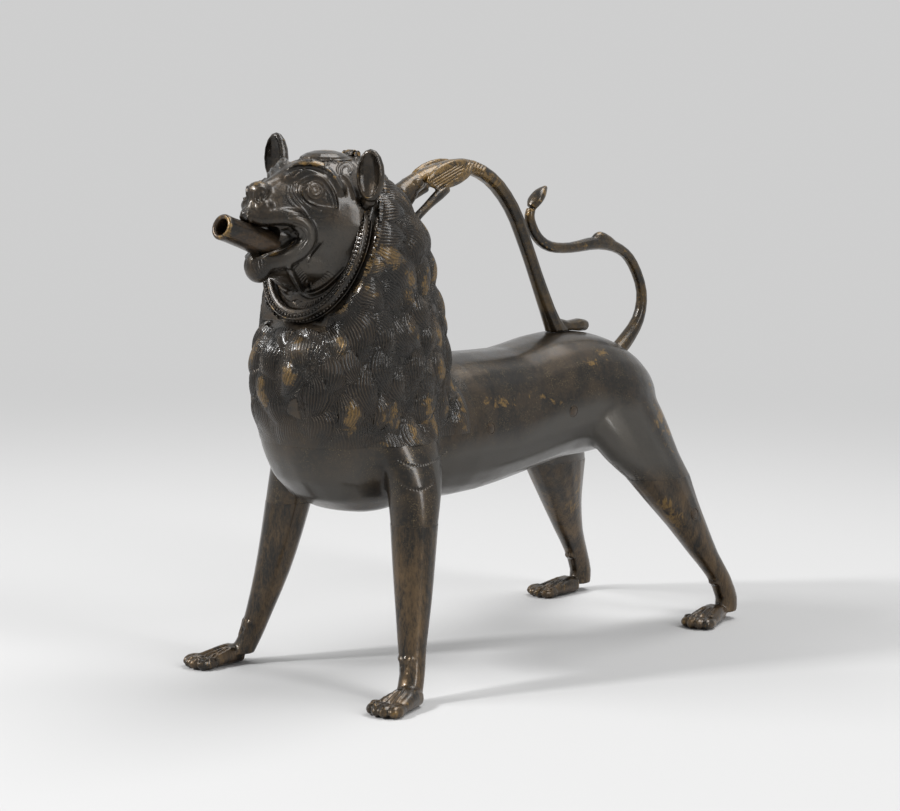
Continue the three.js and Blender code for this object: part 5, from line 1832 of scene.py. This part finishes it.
@dataclass
class Spout:
    """The pouring tube in the mouth, open through its length."""

    measure: Measure
    tip: Point = (0.0, -49.5, 267.6)
    tilt: float = 18.3
    length: float = 56.0
    bore: float = 4.3
    segments: int = 56
    piece: Optional[Piece] = None

    def build(self) -> None:
        """Turns the tube's wall from rings, from the bore at its root round the lip and back."""
        stops = (
            (self.bore + 0.9, -self.length + 2.0), (self.bore + 0.5, -30.0), (self.bore + 0.1, -12.0),
            (self.bore, -3.0),
            (self.bore + 0.25, -0.9), (self.bore + 0.9, -0.1), (self.bore + 1.8, 0.1),
            (self.bore + 2.6, -0.3),
            (self.bore + 3.0, -1.1), (self.bore + 2.95, -2.6), (self.bore + 2.85, -6.0),
            (self.bore + 3.0, -16.0),
            (self.bore + 3.5, -30.0), (self.bore + 4.2, -44.0), (self.bore + 4.7, -self.length + 2.0),
        )
        piece = Bench.turned(stops, self.segments, tube=True)
        piece.rotation_euler = (math.radians(90 - self.tilt), 0.0, 0.0)
        piece.location = self.measure.at(*self.tip)
        Bench.settle(piece)
        Bench.label(piece, "pouring_spout")
        Bench.soften(piece, 60)
        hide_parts("spout_tube")
        self.piece = piece

    def dress(self, palette: Palette) -> None:
        """Ages and finishes the spout, worn at its lip."""
        relief = Relief(self.piece)
        y = self.measure.behind(relief.places)
        lip = ramp(y, -44.5, -4)
        # Darker towards its root, where the spout runs back into the mouth.
        Weather.paint(self.piece, worn=0.06 + 0.5 * lip, grime=np.clip((y + 12) / 14, 0, 0.7))
        palette.lay(self.piece, "spout_bronze")
        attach(self.piece, Body.VESSEL.value)


@dataclass
class Dragon:
    """The dragon whose arched body is the handle."""

    measure: Measure
    view: Viewpoint
    nodes: tuple = (
        "dragon_handle", "dragon_left_wing", "dragon_right_wing", "dragon_left_foreleg",
        "dragon_right_foreleg",
    )
    voxel: float = 0.55
    feather: Spot = (-0.9, 0.62)
    brow: tuple = (((0, 84, 272), (0, 88, 279), (0, 96, 284), (0, 106, 289)), (4.4, 6.6, 6.2, 5.6), 18)
    pairs: tuple = (
        (((3.2, 80, 270), (4.6, 85, 274), (5.4, 91, 277)), (1.5, 1.8, 1.2), 8),
        (((10.3, 97, 270.5), (10.2, 90, 264.5), (9.4, 82, 259.5)), (2.5, 2.9, 2.4), 12),
    )
    piece: Optional[Piece] = None

    def forms(self) -> list[Piece]:
        """Returns the forms of the dragon's head, eyes, jaws and paws that swell out of the bar."""
        line, radii, sides = self.brow
        made = [Bench.tube(self.measure.many(line), radii, sides)]
        for side in Side:
            made.append(Bench.ball(self.measure.at(side.of(4.4), 89.0, 282.5), (2.6, 3.0, 2.6)))
            for line, radii, sides in self.pairs:
                places = self.measure.many([(side.of(x), y, z) for x, y, z in line])
                made.append(Bench.tube(places, radii, sides))
        return made

    def build(self) -> None:
        """Makes the dragon in one casting."""
        copies = [Bench.copy_node(node) for node in self.nodes]
        piece = Bench.join("dragon_cast", [*copies, *self.forms()])
        Bench.remesh(piece, self.voxel, 5)
        self.carve(piece)
        Bench.soften(piece, 70)
        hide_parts(*self.nodes)
        self.piece = piece

    def carve(self, piece: Piece) -> None:
        """Cuts the feathers of the wings and the short strokes behind them."""
        trace = Trace(self.view, Bench.tree(piece))
        relief = Relief(piece)
        slots = []
        for k, length in enumerate((30, 33, 33, 29, 22)):
            start = (431.5 + 1.75 * k, 180.5 + 2.1 * k)
            slots.append((start, (start[0] + length * 0.86, start[1] - length * 0.52)))
        for k in range(6):
            slots.append(((470.0 + 3.2 * k, 160.0 + 0.5 * k), (466.0 + 3.2 * k, 170.0 + 0.5 * k)))
        paths = [trace.path(slot, side, 0.5) for slot in slots for side in Side]
        relief.refine(paths, 1.6, 1)
        for path in paths:
            if len(path) > 1:
                relief.line(path, *self.feather)
        relief.apply()

    def dress(self, palette: Palette) -> None:
        """Ages and finishes the dragon, worn along the top of the arch."""
        relief = Relief(self.piece)
        y = self.measure.behind(relief.places)
        z = relief.places[:, 2]
        high = ramp(z, 276, 12) * ramp(y, 190, -30) * ramp(y, 92, 10)
        Weather.age(self.piece, worn=0.06 + 0.56 * high, edge=0.7, rounds=4)
        palette.lay(self.piece, "handle_bronze")
        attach(self.piece, Body.VESSEL.value)


@dataclass
class Tail:
    """The tail, curled up against the handle, with its tuft."""

    measure: Measure
    voxel: float = 0.5
    piece: Optional[Piece] = None

    def build(self) -> None:
        """Makes the tail in one casting."""
        copies = [Bench.copy_node("lion_tail"), Bench.copy_node("tail_tuft")]
        many = self.measure.many
        knob = Bench.tube(many([(0, 292, 243), (0, 284, 246.5), (0, 275, 249.0), (0, 267, 246)]),
                          [2.4, 3.4, 3.6, 1.6], 12)
        piece = Bench.join("tail_cast", [*copies, knob])
        Bench.remesh(piece, self.voxel, 5)
        Bench.soften(piece, 70)
        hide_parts("lion_tail", "tail_tuft")
        self.piece = piece

    def dress(self, palette: Palette) -> None:
        """Ages and finishes the tail."""
        Weather.age(self.piece, worn=0.14, edge=1.0, rounds=4)
        palette.lay(self.piece, "handle_bronze")
        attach(self.piece, Body.VESSEL.value)


@dataclass
class FounderMarks:
    """The plugs of the core pins and the patch in the belly, let into the skin."""

    measure: Measure
    skin: BVHTree
    plugs: tuple = (
        ("core_plug_left_flank", 3.4), ("core_plug_right_flank", 3.4), ("core_plug_left_loin", 3.4),
        ("core_plug_right_loin", 3.4), ("core_plug_left_thigh", 3.6), ("core_plug_right_thigh", 3.6),
    )
    pieces: list = field(default_factory=list)

    def plug(self, node: str, radius: float) -> Piece:
        """Returns one plug: a low dome in a sunk ring, square to the skin."""
        low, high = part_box(node)
        out = Vector((math.copysign(0.2, low.x), (low.y + high.y) / 2, (low.z + high.z) / 2))
        place, normal, _, _ = self.skin.ray_cast(out, Vector((-out.x, 0, 0)).normalized())
        stops = ((0.02, 0.35), (radius * 0.5, 0.3), (radius * 0.8, 0.12), (radius * 0.86, -0.25),
                 (radius * 0.97, -0.22), (radius, 0.16), (radius + 0.35, 0.1), (radius + 0.5, -1.4))
        piece = Bench.turned(stops, 32)
        piece.rotation_mode = "QUATERNION"
        piece.rotation_quaternion = normal.to_track_quat("Z", "Y")
        piece.location = place
        Bench.settle(piece)
        return Bench.label(piece, f"{node}_set")

    def patch(self) -> Piece:
        """Returns the founder's patch, its face a little below the belly's."""
        piece = Bench.copy_node("belly_patch")
        Bench.remesh(piece, 0.6, 2)
        for vertex in piece.data.vertices:
            vertex.co.z -= 0.45 * MM
        return Bench.label(piece, "belly_patch_set")

    def build(self) -> None:
        """Makes the plugs and the patch."""
        for node, radius in self.plugs:
            piece = self.plug(node, radius)
            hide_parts(node)
            self.pieces.append(piece)
        patch = self.patch()
        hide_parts("belly_patch")
        self.pieces.append(patch)

    def dress(self, palette: Palette) -> None:
        """Ages and finishes the marks."""
        for piece in self.pieces:
            Bench.soften(piece, 50)
            Weather.age(piece, worn=0.08, edge=0.8, rounds=2)
            palette.lay(piece, "plug_bronze")
            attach(piece, Body.VESSEL.value)


@dataclass(frozen=True)
class Lamp:
    """One soft lamp: where it stands, what it lights, its size and its power."""

    name: str
    place: Point
    size: Spot
    power: float
    aim: Point = (0.0, 0.0, 0.15)

    def hang(self) -> None:
        """Puts the lamp in the scene."""
        data = bpy.data.lights.new(self.name, "AREA")
        data.shape = "RECTANGLE"
        data.size, data.size_y = self.size
        data.energy = self.power
        lamp = bpy.data.objects.new(self.name, data)
        bpy.context.scene.collection.objects.link(lamp)
        lamp.location = self.place
        lamp.rotation_mode = "QUATERNION"
        lamp.rotation_quaternion = (Vector(self.aim) - Vector(self.place)).to_track_quat("-Z", "Y")


@dataclass(frozen=True)
class Studio:
    """The pale floor, the soft lamps and the pale surroundings."""

    pale: Tint = (0.60, 0.60, 0.60)
    dusk: Tint = (0.57, 0.57, 0.57)
    radius: float = 9.0
    rough: float = 0.75
    gloss: float = 0.15
    level: float = 0.62
    fill: float = 0.22
    near: float = 0.42
    far: float = 1.5
    lamps: tuple = (
        Lamp("left_softbox", (-1.5, -1.7, 2.2), (0.9, 0.7), 28.0),
        Lamp("front_key", (-0.75, -1.7, 1.5), (0.22, 0.32), 30.0),
        Lamp("right_strip", (2.2, 0.2, 1.3), (0.45, 1.8), 26.0),
        Lamp("top_softbox", (0.3, 0.9, 2.6), (1.8, 1.2), 46.0),
    )

    @staticmethod
    def seen(nodes: Nodes) -> Socket:
        """Returns 1 for what the eye sees straight, in a reflection or through glass, else 0."""
        path = nodes.add("LightPath").outputs
        mirrored = nodes.plus(path["Is Glossy Ray"], path["Is Transmission Ray"], True)
        return nodes.plus(path["Is Camera Ray"], mirrored, True)

    def floor(self) -> None:
        """Lays the floor."""
        Bench.clear()
        bpy.ops.mesh.primitive_circle_add(vertices=128, radius=self.radius, fill_type="NGON",
                                          location=(0, 0, -0.0002))
        floor = Bench.settle(bpy.context.object)
        floor.name = "studio_floor"
        material = bpy.data.materials.new("pale_floor")
        material.use_nodes = True
        shader = material.node_tree.nodes["Principled BSDF"]
        nodes = Nodes(material.node_tree)
        place = nodes.add("TexCoord").outputs["Object"]
        shade = nodes.stretch(nodes.noise(place, 30.0, 3.0), 0.3, 0.7, (0.985, 1.0))
        nodes.feed(shader.inputs["Base Color"], nodes.mix(shade, self.dusk, self.pale))
        shader.inputs["Roughness"].default_value = self.rough
        shader.inputs["Specular IOR Level"].default_value = self.gloss
        length = nodes.add("VectorMath", operation="LENGTH")
        nodes.feed(length.inputs[0], place)
        reach = nodes.stretch(length.outputs["Value"], self.near, self.far)
        seen = nodes.times(reach, self.seen(nodes))
        glow = nodes.add("Emission")
        nodes.feed(glow.inputs["Color"], (self.level,) * 3)
        blend = nodes.add("MixShader")
        nodes.feed(blend.inputs[0], seen)
        nodes.feed(blend.inputs[1], shader.outputs[0])
        nodes.feed(blend.inputs[2], glow.outputs[0])
        nodes.feed(material.node_tree.nodes["Material Output"].inputs[0], blend.outputs[0])
        floor.data.materials.append(material)

    def world(self) -> None:
        """Sets the pale surroundings, brighter to the eye and in reflections than as light."""
        world = bpy.data.worlds.new("studio")
        bpy.context.scene.world = world
        world.use_nodes = True
        nodes = Nodes(world.node_tree)
        back = world.node_tree.nodes["Background"]
        nodes.feed(back.inputs["Color"], nodes.mix(self.seen(nodes), (self.fill,) * 3, (self.level,) * 3))
        back.inputs["Strength"].default_value = 1.0

    def build(self) -> None:
        """Sets up the studio."""
        self.floor()
        self.world()
        for lamp in self.lamps:
            lamp.hang()
        bpy.context.scene.view_settings.view_transform = "Standard"


def main() -> None:
    """Builds and dresses every piece."""
    logging.basicConfig(level=logging.INFO, format="%(name)s: %(message)s")
    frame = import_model()
    LOG.info("the packed model has %d nodes", len(frame["nodes"]))
    measure = Measure.read()
    view = Viewpoint(measure)
    view.camera()
    palette = Palette()
    casting = Casting(measure, view)
    casting.build()
    mane = Mane(measure, casting.whole)
    mane.build()
    casting.comb(mane)
    casting.chase()
    parts = [
        casting,
        Head(measure, view, casting, mane),
        FaceCollar(measure),
        Ear(Side.LEFT),
        Ear(Side.RIGHT),
        FillingLid(),
        Spout(measure),
        Dragon(measure, view),
        Tail(measure),
        FounderMarks(measure, casting.whole),
    ]
    for part in parts[1:]:
        part.build()
        LOG.info("built %s", type(part).__name__)
    for part in parts:
        part.dress(palette)
    palette.lay(bpy.data.objects["lid_hinge_pin"], "pin_bronze")
    Studio().build()


if __name__ == "__main__":
    main()
